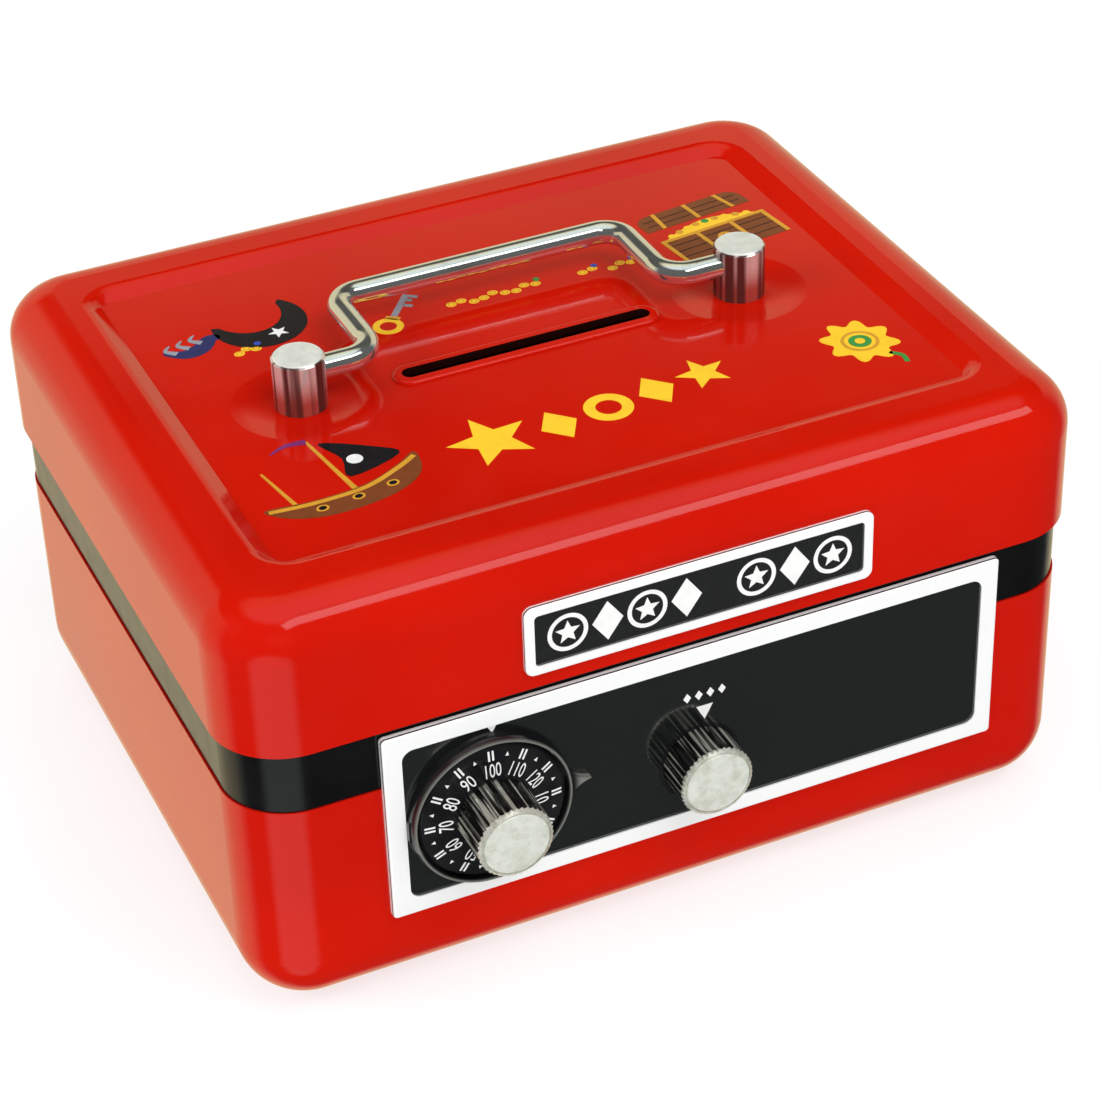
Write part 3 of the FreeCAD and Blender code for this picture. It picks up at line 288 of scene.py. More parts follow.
def bright_chrome(name, tint=(0.78, 0.83, 0.82), roughness=0.04):
    """Bright plate with faint hairlines."""
    shader = Shader(name)
    shader.set(base_color=shader.blend(shader.spread(shader.noise(7, 4.0, 0.7), 0.0, 1.0, 0.5, 0.75),
                                       tint, tuple(c * 0.82 for c in tint)))
    hairline = shader.noise(0.5, 3.0, 0.6, (1.0, 0.12, 0.12))
    shader.set(metallic=0.93, roughness=shader.spread(hairline, roughness, roughness + 0.09))
    shader.bump(shader.noise(6, 0.0), 0.01)
    return shader.material


def post_chrome(name):
    """Chrome post with painted reflection streaks down its side, a painted red reflection of the lid near its
    foot, and a satin top.
    """
    shader = Shader(name)
    top = shader.spread(shader.axis("Z"), 0.0, 1.0, (POST_TOP_Z - 0.30) * MM, (POST_TOP_Z - 0.12) * MM)
    mottle = shader.spread(shader.noise(2.2, 4.0, 0.7), 0.0, 1.0)
    satin = shader.blend(mottle, (0.88, 0.90, 0.85), (0.72, 0.76, 0.70))
    # painted reflections: dark and light vertical streaks stand in for what the chrome mirrors
    reflection_streak = shader.spread(shader.noise(1.7, 1.0, 0.5, (1.0, 1.0, 0.02)), 0.0, 1.0, 0.46, 0.62)
    # painted reflection: the side turns red towards the foot, as the lid would show in the chrome
    low = shader.spread(shader.axis("Z"), 1.0, 0.0, (PANEL_Z + 1.5) * MM, (PANEL_Z + 7.0) * MM)
    bright = shader.blend(low, (0.72, 0.60, 0.57), (0.46, 0.10, 0.08))
    side = shader.blend(reflection_streak, (0.10, 0.035, 0.03), bright)
    shader.set(base_color=shader.blend(top, side, satin))
    shader.set(metallic=shader.mix_value(top, 0.45, 0.35), roughness=shader.mix_value(top, 0.12, 0.42))
    shader.bump(shader.noise(0.4, 2.0, 0.6, (1.0, 1.0, 0.05)), 0.0015)
    return shader.material


def knob_chrome(name, front_y):
    """Dark chrome with painted reflection streaks along the teeth, and a painted highlight on the tooth ends
    at the front.
    """
    shader = Shader(name)
    # painted highlight on the front tooth ends, and painted reflections as dark and light streaks along the
    # teeth
    nose = shader.spread(shader.axis("Y"), 1.0, 0.0, (front_y + 0.75) * MM, (front_y + 0.95) * MM)
    grime = shader.spread(shader.noise(1.5, 4.0, 0.7), 0.0, 1.0)
    reflection_streak = shader.spread(shader.noise(0.6, 1.0, 0.5, (1.0, 0.03, 1.0)), 0.0, 1.0, 0.50, 0.62)
    body = shader.blend(reflection_streak, (0.012, 0.012, 0.011), (0.62, 0.62, 0.54))
    nose_highlight = shader.blend(grime, (0.90, 0.90, 0.84), (0.60, 0.60, 0.48))
    shader.set(base_color=shader.blend(nose, body, nose_highlight))
    shader.set(metallic=0.55, roughness=shader.mix_value(nose, 0.16, 0.3))
    return shader.material


def satin_cap(name, x, z):
    """Spun aluminium disc: fine rings, and cloudy tarnish."""
    shader = Shader(name)
    cloud = shader.spread(shader.noise(2.6, 4.0, 0.65), 0.0, 1.0, 0.4, 0.72)
    shader.set(base_color=shader.blend(cloud, (0.86, 0.88, 0.80), (0.66, 0.68, 0.56)))
    shader.set(metallic=0.3, roughness=shader.spread(shader.noise(1.2, 3.0), 0.38, 0.55))
    phase = shader.maths("MULTIPLY", shader.distance_from(x, z), 2 * math.pi / (SPUN_RING_PITCH * MM))
    shader.bump(shader.maths("SINE", phase), 0.0012)
    shader.bump(shader.noise(0.35, 3.0, 0.7), 0.004)
    return shader.material


def plated_steel(name, tint, roughness, stretch=(1.0, 1.0, 0.06)):
    """Zinc or bright plate with a rolling grain."""
    shader = Shader(name)
    grain = shader.noise(0.35, 3.0, 0.6, stretch)
    bloom = shader.spread(shader.noise(8, 3.0, 0.6), 0.0, 1.0)
    shader.soft_edges(0.12)
    shader.set(base_color=shader.blend(bloom, tint, tuple(c * 0.75 for c in tint)))
    shader.set(metallic=1.0, roughness=shader.spread(grain, roughness, roughness + 0.14))
    shader.bump(grain, 0.002)
    return shader.material


def tray_plastic():
    """Moulded black plastic with a fine matte texture."""
    shader = Shader("tray_plastic")
    flow = shader.spread(shader.noise(30, 2.0), 0.0, 1.0)
    shader.set(base_color=shader.blend(flow, (0.016, 0.016, 0.018), (0.024, 0.024, 0.026)))
    shader.set(roughness=shader.spread(shader.noise(1.2, 3.0), 0.42, 0.56))
    shader.bump(shader.noise(0.32, 2.0, 0.7), 0.012)
    return shader.material


def ink(name, colour, shift=0.88):
    """Screen-printed ink: slightly uneven, with a faint printed grain."""
    shader = Shader(name)
    patch = shader.spread(shader.noise(2.4, 3.0, 0.6), 0.0, 1.0, 0.38, 0.7)
    shader.set(base_color=shader.blend(patch, colour, tuple(c * shift for c in colour)))
    shader.set(roughness=shader.spread(shader.noise(1.5, 2.0), 0.10, 0.18), ior=1.30)
    shader.bump(shader.noise(0.6, 1.0), 0.0008)
    return shader.material


INKS = {
    "white": ink("ink_white", (0.86, 0.86, 0.84), 0.93),
    "yellow": ink("ink_yellow", (0.98, 0.60, 0.03), 0.92),
    "gold": ink("ink_gold", (0.68, 0.33, 0.03)),
    "brown": ink("ink_brown", (0.20, 0.055, 0.016)),
    "tan": ink("ink_tan", (0.36, 0.13, 0.05)),
    "black": ink("ink_black", (0.010, 0.009, 0.012)),
    "navy": ink("ink_navy", (0.025, 0.03, 0.12)),
    "grey": ink("ink_grey", (0.30, 0.31, 0.36)),
    "green": ink("ink_green", (0.05, 0.30, 0.06)),
    "blue": ink("ink_blue", (0.04, 0.08, 0.45)),
    "purple": ink("ink_purple", (0.22, 0.03, 0.16)),
}

CAD_MATERIALS = {
    "base_shell": red_enamel(),
    "lid_shell": red_enamel("lid_enamel", True),
    "inner_collar": black_enamel("black_collar", (0.003, 0.003, 0.0035), 0.12),
    "faceplate": printed_plate("faceplate_print", FIELD_Y, (0.0045, 0.006, 0.0055), 0.28),
    "nameplate": printed_plate("nameplate_print", NAME_FIELD_Y, (0.008, 0.008, 0.009), 0.2),
    "dial_bezel": dial_black("bezel_black", 1.5, True),
    "dial_disc": dial_black("disc_black", 1.5),
    "handle_bail": bright_chrome("bail_chrome"),
    "handle_post_left": post_chrome("post_chrome"),
    "dial_knob": knob_chrome("dial_knob_chrome", lowest("dial_knob").y),
    "push_knob": knob_chrome("push_knob_chrome", lowest("push_knob").y),
    "dial_knob_cap": satin_cap("dial_cap_satin", DIAL.x, DIAL.z),
    "push_knob_cap": satin_cap("push_cap_satin", PUSH.x, PUSH.z),
    "hinge_leaf_base": black_enamel("hinge_enamel", (0.012, 0.012, 0.013), 0.2),
    "hinge_pin": plated_steel("hinge_pin_steel", (0.5, 0.5, 0.5), 0.2, (0.06, 1.0, 1.0)),
    "lock_bracket": plated_steel("zinc_plate", (0.62, 0.62, 0.57), 0.25),
    "latch_plate": plated_steel("latch_steel", (0.55, 0.55, 0.56), 0.22, (0.06, 1.0, 1.0)),
    "dial_spindle": plated_steel("turned_steel", (0.56, 0.56, 0.56), 0.16, (1.0, 0.06, 1.0)),
    "push_spring": plated_steel("spring_steel", (0.40, 0.40, 0.43), 0.24, (1.0, 1.0, 1.0)),
    "dial_bush": plated_steel("bush_brass", (0.72, 0.50, 0.20), 0.2, (1.0, 0.06, 1.0)),
    "coin_tray": tray_plastic(),
}
SAME_AS = {
    "handle_post_right": "handle_post_left",
    "hinge_leaf_lid": "hinge_leaf_base",
    "hinge_rivets_base": "hinge_leaf_base",
    "hinge_rivets_lid": "hinge_leaf_base",
    "dial_bush_nut": "lock_bracket",
    "lock_rivets": "lock_bracket",
    "lid_catch": "latch_plate",
    "catch_rivets": "lock_bracket",
    "post_screws": "lock_bracket",
    "post_washers": "lock_bracket",
    "lock_wheel": "dial_bush",
    "push_rod": "dial_spindle",
    "spindle_clip": "push_spring",
    "rod_clip": "push_spring",
    "spindle_washer": "push_spring",
    "push_bush": "dial_disc",
}


def dress(node, material):
    """Give a CAD node its material."""
    piece = nodes[node]
    piece.data.materials.clear()
    piece.data.materials.append(material)


for node_name in nodes:
    dress(node_name, CAD_MATERIALS[SAME_AS.get(node_name, node_name)])


# ---- push spring --------------------------------------------------------
SPRING_TURN_STEPS = 28
SPRING_SIDES = 10
SPRING_PITCH = 1.9


def coil_spring():
    """Coil of the spring that the knob squeezes when pushed: a round wire swept along a helix, built at one
    length.
    """
    low = lowest("push_spring")
    high = highest("push_spring")
    coil_x = (low.x + high.x) / 2
    coil_z = (low.z + high.z) / 2
    wire_r = 0.45
    coil_r = (high.x - low.x) / 2 - wire_r
    height = high.y - low.y
    length = height - 2 * wire_r
    steps = round(length / SPRING_PITCH * SPRING_TURN_STEPS)
    mesh = bmesh.new()
    rings = []
    for step in range(steps + 1):
        turn = 2 * math.pi * step / SPRING_TURN_STEPS
        outward = Vector((math.cos(turn), 0, math.sin(turn)))
        centre = Vector((coil_x, low.y + wire_r + length * step / steps, coil_z)) + outward * coil_r
        ring = []
        for side in range(SPRING_SIDES):
            angle = 2 * math.pi * side / SPRING_SIDES
            point = centre + outward * (wire_r * math.cos(angle)) + Vector((0, wire_r * math.sin(angle), 0))
            ring.append(mesh.verts.new(point * MM))
        rings.append(ring)
    for first, second in zip(rings, rings[1:]):
        for side in range(SPRING_SIDES):
            after = (side + 1) % SPRING_SIDES
            mesh.faces.new((first[side], first[after], second[after], second[side]))
    mesh.faces.new(rings[0][::-1])
    mesh.faces.new(rings[-1])
    bmesh.ops.recalc_face_normals(mesh, faces=mesh.faces)
    for face in mesh.faces:
        face.smooth = len(face.verts) == 4
    data = bpy.data.meshes.new("spring_coil")
    mesh.to_mesh(data)
    mesh.free()
    data.materials.append(CAD_MATERIALS["push_spring"])
    coil = bpy.data.objects.new("spring_coil", data)
    bpy.context.scene.collection.objects.link(coil)
    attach(coil, "push")
    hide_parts("push_spring")
    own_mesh(coil)


coil_spring()


# ---- flat printed shapes ------------------------------------------------
INK_T = 0.03             # thickness of one layer of ink
INK_GAP = 0.012          # first layer's height above the surface


class Print:
    """Thin printed shapes on one surface, gathered into one mesh."""

    def __init__(self, name, body, slot, place):
        self.name = name
        self.body = body
        self.slot = slot
        self.place = place       # turns (u, v, lift) in mm into a point
        self.mesh = bmesh.new()
        self.inks = []

    def ink_index(self, colour):
        if colour not in self.inks:
            self.inks.append(colour)
        return self.inks.index(colour)

    def shape(self, outline, colour, layer=0):
        """A closed slab of ink from an outline."""
        bottom = INK_GAP
        top = INK_GAP + INK_T * (layer + 1)
        lower = [self.mesh.verts.new(self.place(u, v, bottom)) for u, v in outline]
        upper = [self.mesh.verts.new(self.place(u, v, top)) for u, v in outline]
        faces = [self.mesh.faces.new(upper), self.mesh.faces.new(list(reversed(lower)))]
        for index in range(len(outline)):
            after = (index + 1) % len(outline)
            faces.append(self.mesh.faces.new((lower[index], lower[after], upper[after], upper[index])))
        for face in faces:
            face.material_index = self.ink_index(colour)

    def ring(self, u, v, outer, inner, colour, layer=0, count=32):
        """A closed ring of ink."""
        loops = []
        for radius in (outer, inner):
            outline = circle(u, v, radius, count)
            for lift in (INK_GAP, INK_GAP + INK_T * (layer + 1)):
                loops.append([self.mesh.verts.new(self.place(x, y, lift)) for x, y in outline])
        for first, second in ((0, 1), (1, 3), (3, 2), (2, 0)):
            for index in range(count):
                after = (index + 1) % count
                face = self.mesh.faces.new((loops[first][index], loops[first][after],
                                            loops[second][after], loops[second][index]))
                face.material_index = self.ink_index(colour)

    def finish(self):
        """Make the gathered shapes one object that moves with its body."""
        bmesh.ops.recalc_face_normals(self.mesh, faces=self.mesh.faces)
        big = [face for face in self.mesh.faces if len(face.verts) > 4]
        bmesh.ops.triangulate(self.mesh, faces=big)
        data = bpy.data.meshes.new(self.name)
        self.mesh.to_mesh(data)
        self.mesh.free()
        piece = bpy.data.objects.new(self.name, data)
        bpy.context.scene.collection.objects.link(piece)
        for colour in self.inks:
            data.materials.append(INKS[colour])
        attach(piece, self.body)


def on_panel(cx, cy, turn_deg=0.0, size=1.0):
    """Places shapes on the lid's top panel."""
    turn = math.radians(turn_deg)

    def place(u, v, lift):
        x = cx + size * (u * math.cos(turn) - v * math.sin(turn))
        y = cy + size * (u * math.sin(turn) + v * math.cos(turn))
        return Vector((x, y, PANEL_Z + lift)) * MM
    return place


def on_front(cx, cz, front_y):
    """Places shapes on an upright plate that faces the front."""
    def place(u, v, lift):
        return Vector((cx + u, front_y - lift, cz + v)) * MM
    return place


def on_disc(angle_deg):
    """Places shapes on the dial disc, with v measured out along a radius."""
    turn = math.radians(angle_deg)

    def place(u, v, lift):
        radius = math.hypot(u, v)
        slope = max(0.0, radius - DISC_FLAT_R) / (DISC_SLOPE_END_R - DISC_FLAT_R)
        y = DISC_FRONT_Y + slope * DISC_EDGE_DROP - lift
        x = DIAL.x + v * math.sin(turn) + u * math.cos(turn)
        z = DIAL.z + v * math.cos(turn) - u * math.sin(turn)
        return Vector((x, y, z)) * MM
    return place


# ---- outlines, in millimetres ------------------------------------------
def arc(cx, cy, radius, start, end, count, squash=1.0):
    """Points along an arc, in degrees."""
    points = []
    for step in range(count + 1):
        angle = math.radians(start + (end - start) * step / count)
        points.append((cx + radius * math.cos(angle), cy + squash * radius * math.sin(angle)))
    return points


def circle(cx, cy, radius, count=28, squash=1.0):
    return arc(cx, cy, radius, 0, 360, count, squash)[:-1]


def rectangle(x0, x1, y0, y1):
    return [(x0, y0), (x1, y0), (x1, y1), (x0, y1)]


def star(cx, cy, outer, inner, points=5, tilt=90.0):
    outline = []
    for step in range(2 * points):
        radius = inner if step % 2 else outer
        angle = math.radians(tilt + 180.0 * step / points)
        outline.append((cx + radius * math.cos(angle), cy + radius * math.sin(angle)))
    return outline


def pointer(cx, top, half_w, height):
    """A triangle that points down."""
    return [(cx - half_w, top), (cx, top - height), (cx + half_w, top)]


def diamond(cx, cy, half_w, half_h):
    return [(cx + half_w, cy), (cx, cy + half_h), (cx - half_w, cy), (cx, cy - half_h)]


def crescent(cx, cy, radius, bite, shift, tilt=0.0):
    """Moon shape: most of a circle, closed by an arc round a point that is shifted along."""
    outer = arc(0, 0, radius, 60, 300, 26)
    tip_x, tip_y = outer[0]
    reach = math.degrees(math.atan2(tip_y, tip_x - shift))
    inner_r = math.hypot(tip_x - shift, tip_y)
    inner = arc(shift, 0, inner_r, -reach, reach - 360, 26)
    inner = [(x, y * bite) for x, y in inner[1:-1]]
    turn = math.radians(tilt)
    return [(cx + x * math.cos(turn) - y * math.sin(turn), cy + x * math.sin(turn) + y * math.cos(turn))
            for x, y in outer + inner]


def ribbon(line, width):
    """Outline of a tapering stroke along a line."""
    left = []
    right = []
    last = len(line) - 1
    for index, (x, y) in enumerate(line):
        ahead = line[min(index + 1, last)]
        behind = line[max(index - 1, 0)]
        dx = ahead[0] - behind[0]
        dy = ahead[1] - behind[1]
        length = math.hypot(dx, dy)
        half = width(index / last) / 2
        left.append((x - dy / length * half, y + dx / length * half))
        right.append((x + dy / length * half, y - dx / length * half))
    return left + right[::-1]


def smooth(points, steps=6, closed=True):
    """Catmull-Rom curve through a few points."""
    count = len(points)
    outline = []
    spans = count if closed else count - 1
    for index in range(spans):
        if closed:
            p = [points[(index + k - 1) % count] for k in range(4)]
        else:
            p = [points[min(max(index + k - 1, 0), count - 1)] for k in range(4)]
        for step in range(steps):
            t = step / steps
            outline.append(tuple(
                0.5 * (2 * p[1][a] + (p[2][a] - p[0][a]) * t
                       + (2 * p[0][a] - 5 * p[1][a] + 4 * p[2][a] - p[3][a]) * t * t
                       + (3 * p[1][a] - p[0][a] - 3 * p[2][a] + p[3][a]) * t ** 3)
                for a in (0, 1)))
    if not closed:
        outline.append(points[-1])
    return outline


# ---- dial print ---------------------------------------------------------
NUMBER_INNER_R = 7.1
NUMBER_HEIGHT = 2.45
NUMBER_COUNT = 12
DIGIT_HEIGHT = 0.69      # a digit's height in the built-in font, at size one
TICK_R = (10.1, 11.9)
TICK_HALF_GAP = 0.18
TICK_W = 0.34


def number_mesh(text):
    """Flat mesh of a number in Blender's own font, at size one."""
    curve = bpy.data.curves.new("number", "FONT")
    curve.body = text
    curve.align_x = "CENTER"
    curve.resolution_u = 4
    helper = bpy.data.objects.new("number", curve)
    bpy.context.scene.collection.objects.link(helper)
    bpy.context.view_layer.update()
    data = bpy.data.meshes.new_from_object(helper)
    bpy.data.objects.remove(helper)
    return data


def add_number(sheet, text, angle):
    """Raise the flat number mesh into a closed layer on the disc."""
    data = number_mesh(text)
    scale = NUMBER_HEIGHT / DIGIT_HEIGHT
    place = on_disc(angle)
    narrow = 0.66 if len(text) < 3 else 0.60
    layer = bmesh.new()
    layer.from_mesh(data)
    bmesh.ops.remove_doubles(layer, verts=layer.verts, dist=1e-5)
    grown = bmesh.ops.extrude_face_region(layer, geom=layer.faces[:])
    raised = {v for v in grown["geom"] if isinstance(v, bmesh.types.BMVert)}
    for vert in layer.verts:
        u = vert.co.x * scale * narrow
        v = NUMBER_INNER_R + vert.co.y * scale
        lift = INK_GAP + INK_T if vert in raised else INK_GAP
        vert.co = place(u, v, lift)
    index = sheet.ink_index("white")
    copies = {vert: sheet.mesh.verts.new(vert.co) for vert in layer.verts}
    for face in layer.faces:
        copy = sheet.mesh.faces.new([copies[vert] for vert in face.verts])
        copy.material_index = index
    layer.free()


def dial_print():
    """Tens from 10 to 120, a pair of ticks at each, and a small triangle between each two."""
    sheet = Print("dial_numbers", "dial", "black_gloss_plastic", None)
    spacing = 360.0 / NUMBER_COUNT
    for step in range(NUMBER_COUNT):
        angle = spacing * step
        number = 10 * ((step + 9) % NUMBER_COUNT + 1)
        add_number(sheet, str(number), angle)
        sheet.place = on_disc(angle)
        for side in (-1, 1):
            inner = side * TICK_HALF_GAP
            outer = side * (TICK_HALF_GAP + TICK_W)
            sheet.shape(rectangle(min(inner, outer), max(inner, outer), *TICK_R), "white")
        sheet.place = on_disc(angle + spacing / 2)
        sheet.shape([(-0.32, 10.6), (0.32, 10.6), (0.0, 11.3)], "white")
    sheet.finish()


def face_marks():
    """White index triangles over the dial and the push knob, and a row of diamonds."""
    sheet = Print("faceplate_marks", "base", "faceplate_print", on_front(0, 0, FIELD_Y))
    dial_x = DIAL.x + 1.2
    push_x = PUSH.x + 1.0
    push_top = PUSH.z + KNOB_R + 4.4
    sheet.shape(pointer(dial_x, FIELD_TOP_Z - 0.15, 0.8, 1.4), "white")
    sheet.shape(pointer(push_x, push_top, 1.5, 2.8), "white")
    for step in (-1.5, -0.5, 0.5, 1.5):
        sheet.shape(diamond(push_x + 2.1 * step, push_top + 2.3, 0.7, 0.95), "white")
    sheet.finish()


def name_marks():
    """Coins and diamonds in a row on the nameplate: four, a gap, then three."""
    sheet = Print("nameplate_marks", "lid", "nameplate_print", on_front(NAME.x, NAME.z, NAME_FIELD_Y))
    pitch = 6.9
    columns = [-23.4 + pitch * step for step in range(4)] + [9.7 + pitch * step for step in range(3)]
    for order, x in enumerate(columns):
        if order % 2 == 0:
            sheet.ring(x, 0, 3.5, 2.75, "white", 0, 40)
            sheet.shape(star(x, 0, 2.2, 1.0), "white")
        else:
            sheet.shape(diamond(x, 0, 2.7, 3.7), "white")
    sheet.finish()


# ---- lid decorations ----------------------------------------------------
def star_row():
    """Five yellow shapes on a rising line, the first one tall."""
    sheet = Print("decal_star_row", "lid", "red_enamel", on_panel(0, -25.5, 7.5))
    sheet.shape(star(-17.5, 0.6, 7.6, 3.3), "yellow")
    sheet.shape(diamond(-6.0, -1.6, 3.4, 4.6), "yellow")
    sheet.ring(3.6, -1.6, 4.2, 2.2, "yellow", 0, 40)
    sheet.shape(diamond(13.0, -1.6, 3.4, 4.6), "yellow")
    sheet.shape(star(22.4, -1.5, 4.9, 2.1), "yellow")
    sheet.finish()


def moon_and_swirl():
    """A dark moon with a star, and a blue swirl beside it."""
    sheet = Print("decal_moon", "lid", "red_enamel", on_panel(-38.0, 26.0, 18.0))
    sheet.shape(crescent(0, 0, 8.4, 0.86, 4.6, 90.0), "black")
    sheet.shape(star(0.4, -4.9, 1.9, 0.8), "white", 1)
    line = smooth([(-18, 3.4), (-15.5, 0.4), (-12.4, 0.2), (-9.6, 1.6), (-7.6, 1.2)], 8, False)
    sheet.shape(ribbon(line, lambda t: 0.7 + 2.6 * math.sin(math.pi * t) ** 0.7), "navy")
    for shift in (0.0, 2.6, 5.2):
        curl = smooth([(-16.4 + shift, 1.6), (-17.4 + shift, 3.6), (-15.9 + shift, 4.6)], 6, False)
        sheet.shape(ribbon(curl, lambda t: 1.3 - t), "grey", 1)
    sheet.finish()


def sailboat():
    """A plain toy sailboat with one sail and a pennant."""
    sheet = Print("decal_sailboat", "lid", "red_enamel", on_panel(-43.0, -30.7, 8.0, 1.1))
    hull = smooth([(-13.2, 2.4), (-6, 0.9), (2, 0.4), (8.5, 2.2), (12.6, 4.0), (10.6, -1.4), (4.5, -4.2),
                   (-4.5, -4.1), (-10.5, -1.6)], 5)
    sheet.shape(hull, "brown")
    rail = smooth([(-12.8, 1.7), (-6, 0.2), (2, -0.3), (8.4, 1.5), (12.0, 3.1)], 6, False)
    sheet.shape(ribbon(rail, lambda t: 0.85), "gold", 1)
    for x in (-5.8, 0.0, 5.8):
        sheet.shape(circle(x, -1.8 + 0.04 * abs(x), 1.0, 20, 0.8), "gold", 1)
        sheet.shape(circle(x, -1.8 + 0.04 * abs(x), 0.62, 16, 0.8), "black", 2)
    sheet.shape(ribbon([(0.6, 0.2), (0.6, 6.0), (0.7, 15.4)], lambda t: 0.9 - 0.4 * t), "gold")
    sheet.shape(ribbon([(-8.6, 1.2), (-8.9, 11.4)], lambda t: 0.7 - 0.3 * t), "gold")
    sail = smooth([(1.6, 3.4), (10.6, 4.8), (8.4, 8.6), (2.0, 14.0), (2.9, 8.4)], 4)
    sheet.shape(sail, "black")
    sheet.shape(circle(4.4, 7.2, 1.25, 20), "white", 1)
    pennant = smooth([(0.7, 15.4), (-2.4, 16.1), (-5.4, 15.2)], 5, False)
    sheet.shape(ribbon(pennant, lambda t: 1.5 - 1.3 * t), "purple", 1)
    sheet.finish()


def crate():
    """A plain wooden crate with gold bands, heaped with dots."""
    sheet = Print("decal_crate", "lid", "red_enamel", on_panel(47.2, 17.8, 7.0))
    sheet.shape(rectangle(-11.0, 11.0, -6.0, 2.6), "brown")
    for y in (-3.9, -1.7, 0.5):
        sheet.shape(rectangle(-10.8, 10.8, y - 0.10, y + 0.10), "black", 1)
    for x in (-10.6, -3.6, 3.6, 10.6):
        sheet.shape(rectangle(x - 0.42, x + 0.42, -6.0, 2.6), "gold", 2)
    sheet.shape(rectangle(-11.0, 11.0, 2.2, 3.0), "gold", 3)
    shoulders = arc(-8.0, 9.6, 3.0, 180, 90, 6) + arc(8.0, 9.6, 3.0, 90, 0, 6)
    sheet.shape([(-11.0, 7.0)] + shoulders + [(11.0, 7.0)], "brown")
    for y in (8.8, 10.6):
        sheet.shape(rectangle(-9.8, 9.8, y - 0.10, y + 0.10), "black", 1)
    for x in (-7.0, 0.0, 7.0):
        band = [(x * 1.05 - 0.4, 7.0), (x * 1.05 + 0.4, 7.0), (x * 0.95 + 0.4, 12.6), (x * 0.95 - 0.4, 12.6)]
        sheet.shape(band, "gold", 2)
    heap = smooth([(-9.8, 3.0), (-5.0, 5.0), (0.0, 6.0), (5.0, 5.0), (9.8, 3.0)], 6, False)
    sheet.shape(heap, "yellow")
    for step in range(9):
        x = -8.0 + 2.0 * step
        lift = 3.4 + 1.9 * math.cos(x / 9.0 * math.pi / 2)
        sheet.shape(circle(x, lift, 0.72, 16), "gold" if step % 2 else "green" if step == 4 else "yellow", 1)
    sheet.shape(circle(0, -1.6, 1.5, 24), "gold", 3)
    sheet.shape(diamond(0, -1.6, 0.6, 0.9), "black", 4)
    sheet.finish()


def flower():
    """Yellow scalloped flower with a green middle."""
    sheet = Print("decal_flower", "lid", "red_enamel", on_panel(50.6, -27.0, 20.0))
    petals = []
    for step in range(64):
        angle = 2 * math.pi * step / 64
        radius = 5.6 + 0.9 * math.cos(8 * angle)
        petals.append((radius * math.cos(angle), 1.12 * radius * math.sin(angle)))
    sheet.shape(petals, "yellow")
    sheet.ring(0, 0, 3.3, 2.7, "gold", 1)
    sheet.shape(circle(0, 0, 2.0, 24), "green", 1)
    sheet.shape(circle(0, 0, 0.9, 20), "yellow", 2)
    stem = smooth([(0.6, -6.0), (1.4, -8.2), (0.4, -10.2)], 6, False)
    sheet.shape(ribbon(stem, lambda t: 0.9), "green")
    sheet.finish()


def key():
    """A small key with a round bow."""
    sheet = Print("decal_key", "lid", "red_enamel", on_panel(-16.0, 17.8, 52.0))
    sheet.ring(-4.2, 0, 2.7, 1.5, "yellow", 1, 32)
    sheet.shape(rectangle(-1.8, 7.0, -0.6, 0.6), "grey")
    for x, drop in ((3.4, 2.2), (5.2, 1.6), (6.6, 2.2)):
        sheet.shape(rectangle(x - 0.45, x + 0.45, -drop, -0.5), "grey")
    sheet.shape(rectangle(-1.9, -0.8, -1.3, 1.3), "gold", 1)
    sheet.finish()


def coin_trails():
    """Small loose coins and beads near the handle."""
    sheet = Print("decal_coin_trails", "lid", "red_enamel", on_panel(0, 0))
    for start, count, pitch, y in ((-6.0, 9, 2.0, 16.2), (19.0, 2, 2.1, 16.0), (24.4, 3, 1.9, 15.6),
                                   (-44.6, 3, 1.6, 18.0)):
        for step in range(count):
            x = start + pitch * step
            lift = y + 0.7 * math.sin(1.9 * step + start)
            sheet.shape(circle(x, lift, 0.95, 18, 0.85), "yellow")
            sheet.ring(x, lift, 0.62, 0.44, "gold", 1, 18)
        bead = "green" if count > 3 else "blue"
        sheet.shape(circle(start + pitch * (count - 1) + 0.7, y + 1.5, 0.62, 16), bead, 1)
    sheet.finish()


dial_print()
face_marks()
name_marks()
star_row()
moon_and_swirl()
sailboat()
crate()
flower()
key()
coin_trails()


# ---- stage, light and camera -------------------------------------------
CAMERA_AZIMUTH = -23.35
CAMERA_ELEVATION = 34.3
CAMERA_ROLL = -2.08
CAMERA_DISTANCE = 580.3
CAMERA_AIM = (9.65, 13.4, 23.7)
CAMERA_LENS = 103.1
SENSOR = 36.0
FLOOR_HALF = 4.0         # metres


def direction(azimuth_deg, elevation_deg):
    """Unit vector from the object towards a viewer; azimuth 0 is in front."""
    azimuth = math.radians(azimuth_deg)
    elevation = math.radians(elevation_deg)
    return Vector((math.sin(azimuth) * math.cos(elevation), -math.cos(azimuth) * math.cos(elevation),
                   math.sin(elevation)))


def make_camera():
    """The camera at the photograph's viewing angle."""
    back = direction(CAMERA_AZIMUTH, CAMERA_ELEVATION)
    level = (-back).cross(Vector((0, 0, 1))).normalized()
    upward = level.cross(-back)
    roll = math.radians(CAMERA_ROLL)
    right = math.cos(roll) * level + math.sin(roll) * upward
    top = right.cross(-back)
    place = Vector(CAMERA_AIM) * MM + back * CAMERA_DISTANCE * MM
    camera = bpy.data.objects.new("camera", bpy.data.cameras.new("camera"))
    camera.data.lens = CAMERA_LENS
    camera.data.sensor_width = SENSOR
    camera.data.clip_start = 0.01
    rotation = Matrix((right, top, back)).transposed().to_4x4()
    camera.matrix_world = Matrix.Translation(place) @ rotation
    bpy.context.scene.collection.objects.link(camera)
    bpy.context.scene.camera = camera


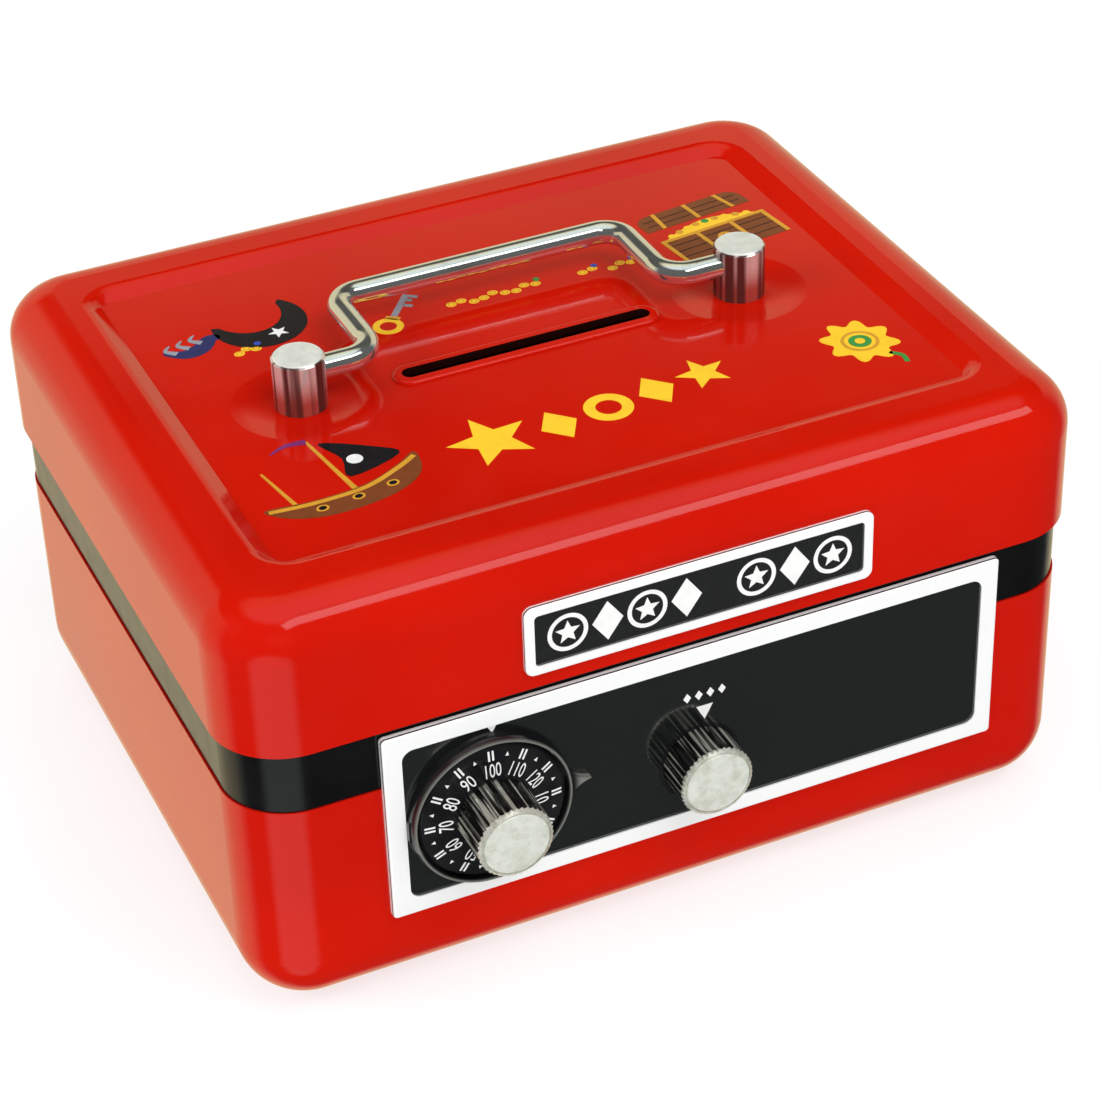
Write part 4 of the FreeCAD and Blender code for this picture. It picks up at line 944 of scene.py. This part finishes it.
def softbox(name, azimuth, elevation, distance, width, height, power, mirrored):
    """Area light aimed at the middle of the box; a mirrored one shows in glossy surfaces."""
    light = bpy.data.lights.new(name, "AREA")
    light.shape = "RECTANGLE"
    light.size = width
    light.size_y = height
    light.energy = power
    lamp = bpy.data.objects.new(name, light)
    back = direction(azimuth, elevation)
    lamp.location = back * distance + Vector((0, 0, 0.04))
    lamp.rotation_euler = back.to_track_quat("Z", "Y").to_euler()
    lamp.visible_glossy = mirrored
    bpy.context.scene.collection.objects.link(lamp)


def make_floor():
    """Large pale floor with a faint paper texture."""
    data = bpy.data.meshes.new("floor")
    grid = bmesh.new()
    bmesh.ops.create_grid(grid, x_segments=4, y_segments=4, size=FLOOR_HALF)
    grid.to_mesh(data)
    grid.free()
    floor = bpy.data.objects.new("floor", data)
    floor.location = (0, 0, -0.0002)
    floor.visible_glossy = False
    bpy.context.scene.collection.objects.link(floor)
    shader = Shader("pale_floor")
    shader.set(base_color=shader.blend(shader.noise(90, 2.0), (0.30, 0.30, 0.30), (0.34, 0.34, 0.34)))
    shader.set(roughness=0.8, specular_ior_level=0.1, emission_strength=0.72)
    shader.set(emission_color=(1.0, 1.0, 1.0, 1.0))
    data.materials.append(shader.material)


# Brightness of the studio that glossy surfaces mirror, by direction
MIRRORED_FRONT = 0.07
MIRRORED_BACK_LOW = 0.85
MIRRORED_BACK_HIGH = 0.03
MIRRORED_HORIZON = 0.75
MIRRORED_OVERHEAD = 0.9
MIRRORED_WINDOW = 0.85
WINDOW_AT = Vector((-0.42, -0.72, -0.55))        # towards a bright patch low in front
AMBIENT = 0.42


class WorldShader(Shader):
    """The same wiring helpers, on a world."""

    def __init__(self, world):
        world.use_nodes = True
        self.tree = world.node_tree
        self.coords = self.tree.nodes.new("ShaderNodeTexCoord").outputs["Generated"]


def make_world():
    """Even light for matte surfaces; for glossy ones dark in front and bright behind."""
    world = bpy.data.worlds.new("studio")
    shader = WorldShader(world)
    bpy.context.scene.world = world
    depth = shader.axis("Y")
    height = shader.axis("Z")
    behind = shader.spread(depth, 0.0, 1.0, 0.0, 0.35)
    horizon = shader.spread(height, 0.0, 1.0, -0.08, 0.04)
    back = shader.mix_value(horizon, MIRRORED_BACK_LOW, MIRRORED_HORIZON)
    high = shader.spread(height, 0.0, 1.0, 0.43, 0.54)
    back = shader.mix_value(high, back, MIRRORED_BACK_HIGH)
    mirrored = shader.mix_value(behind, MIRRORED_FRONT, back)
    overhead = shader.spread(height, 0.0, 1.0, 0.80, 0.92)
    mirrored = shader.mix_value(overhead, mirrored, MIRRORED_OVERHEAD)
    toward = shader.maths("MULTIPLY", shader.axis("X"), WINDOW_AT.x)
    toward = shader.maths("ADD", toward, shader.maths("MULTIPLY", depth, WINDOW_AT.y))
    toward = shader.maths("ADD", toward, shader.maths("MULTIPLY", height, WINDOW_AT.z))
    window = shader.spread(toward, 0.0, 1.0, 0.86, 0.95)
    mirrored = shader.mix_value(window, mirrored, MIRRORED_WINDOW)
    rays = shader.tree.nodes.new("ShaderNodeLightPath")
    strength = shader.mix_value(rays.outputs["Is Glossy Ray"], AMBIENT, mirrored)
    strength = shader.mix_value(rays.outputs["Is Camera Ray"], strength, 1.0)
    background = shader.tree.nodes["Background"]
    warm = shader.blend(behind, (0.93, 1.0, 0.96), (1.0, 0.87, 0.55))
    tint = shader.blend(rays.outputs["Is Glossy Ray"], (0.98, 0.99, 1.0), warm)
    tint = shader.blend(rays.outputs["Is Camera Ray"], tint, (1.0, 1.0, 1.0))
    shader.put(background.inputs["Color"], tint)
    shader.put(background.inputs["Strength"], strength)


make_camera()
make_floor()
make_world()
softbox("edge_softbox", 28, 52, 1.1, 0.95, 0.26, 2.6, True)
softbox("top_fill", 15, 65, 1.2, 0.9, 0.6, 3.5, False)
softbox("front_fill", -12, 22, 1.3, 1.0, 0.6, 5, False)
softbox("left_fill", -95, 30, 1.2, 0.7, 0.5, 5.5, False)
softbox("back_fill", 170, 40, 1.3, 0.9, 0.5, 2, False)
bpy.context.scene.view_settings.view_transform = "Standard"
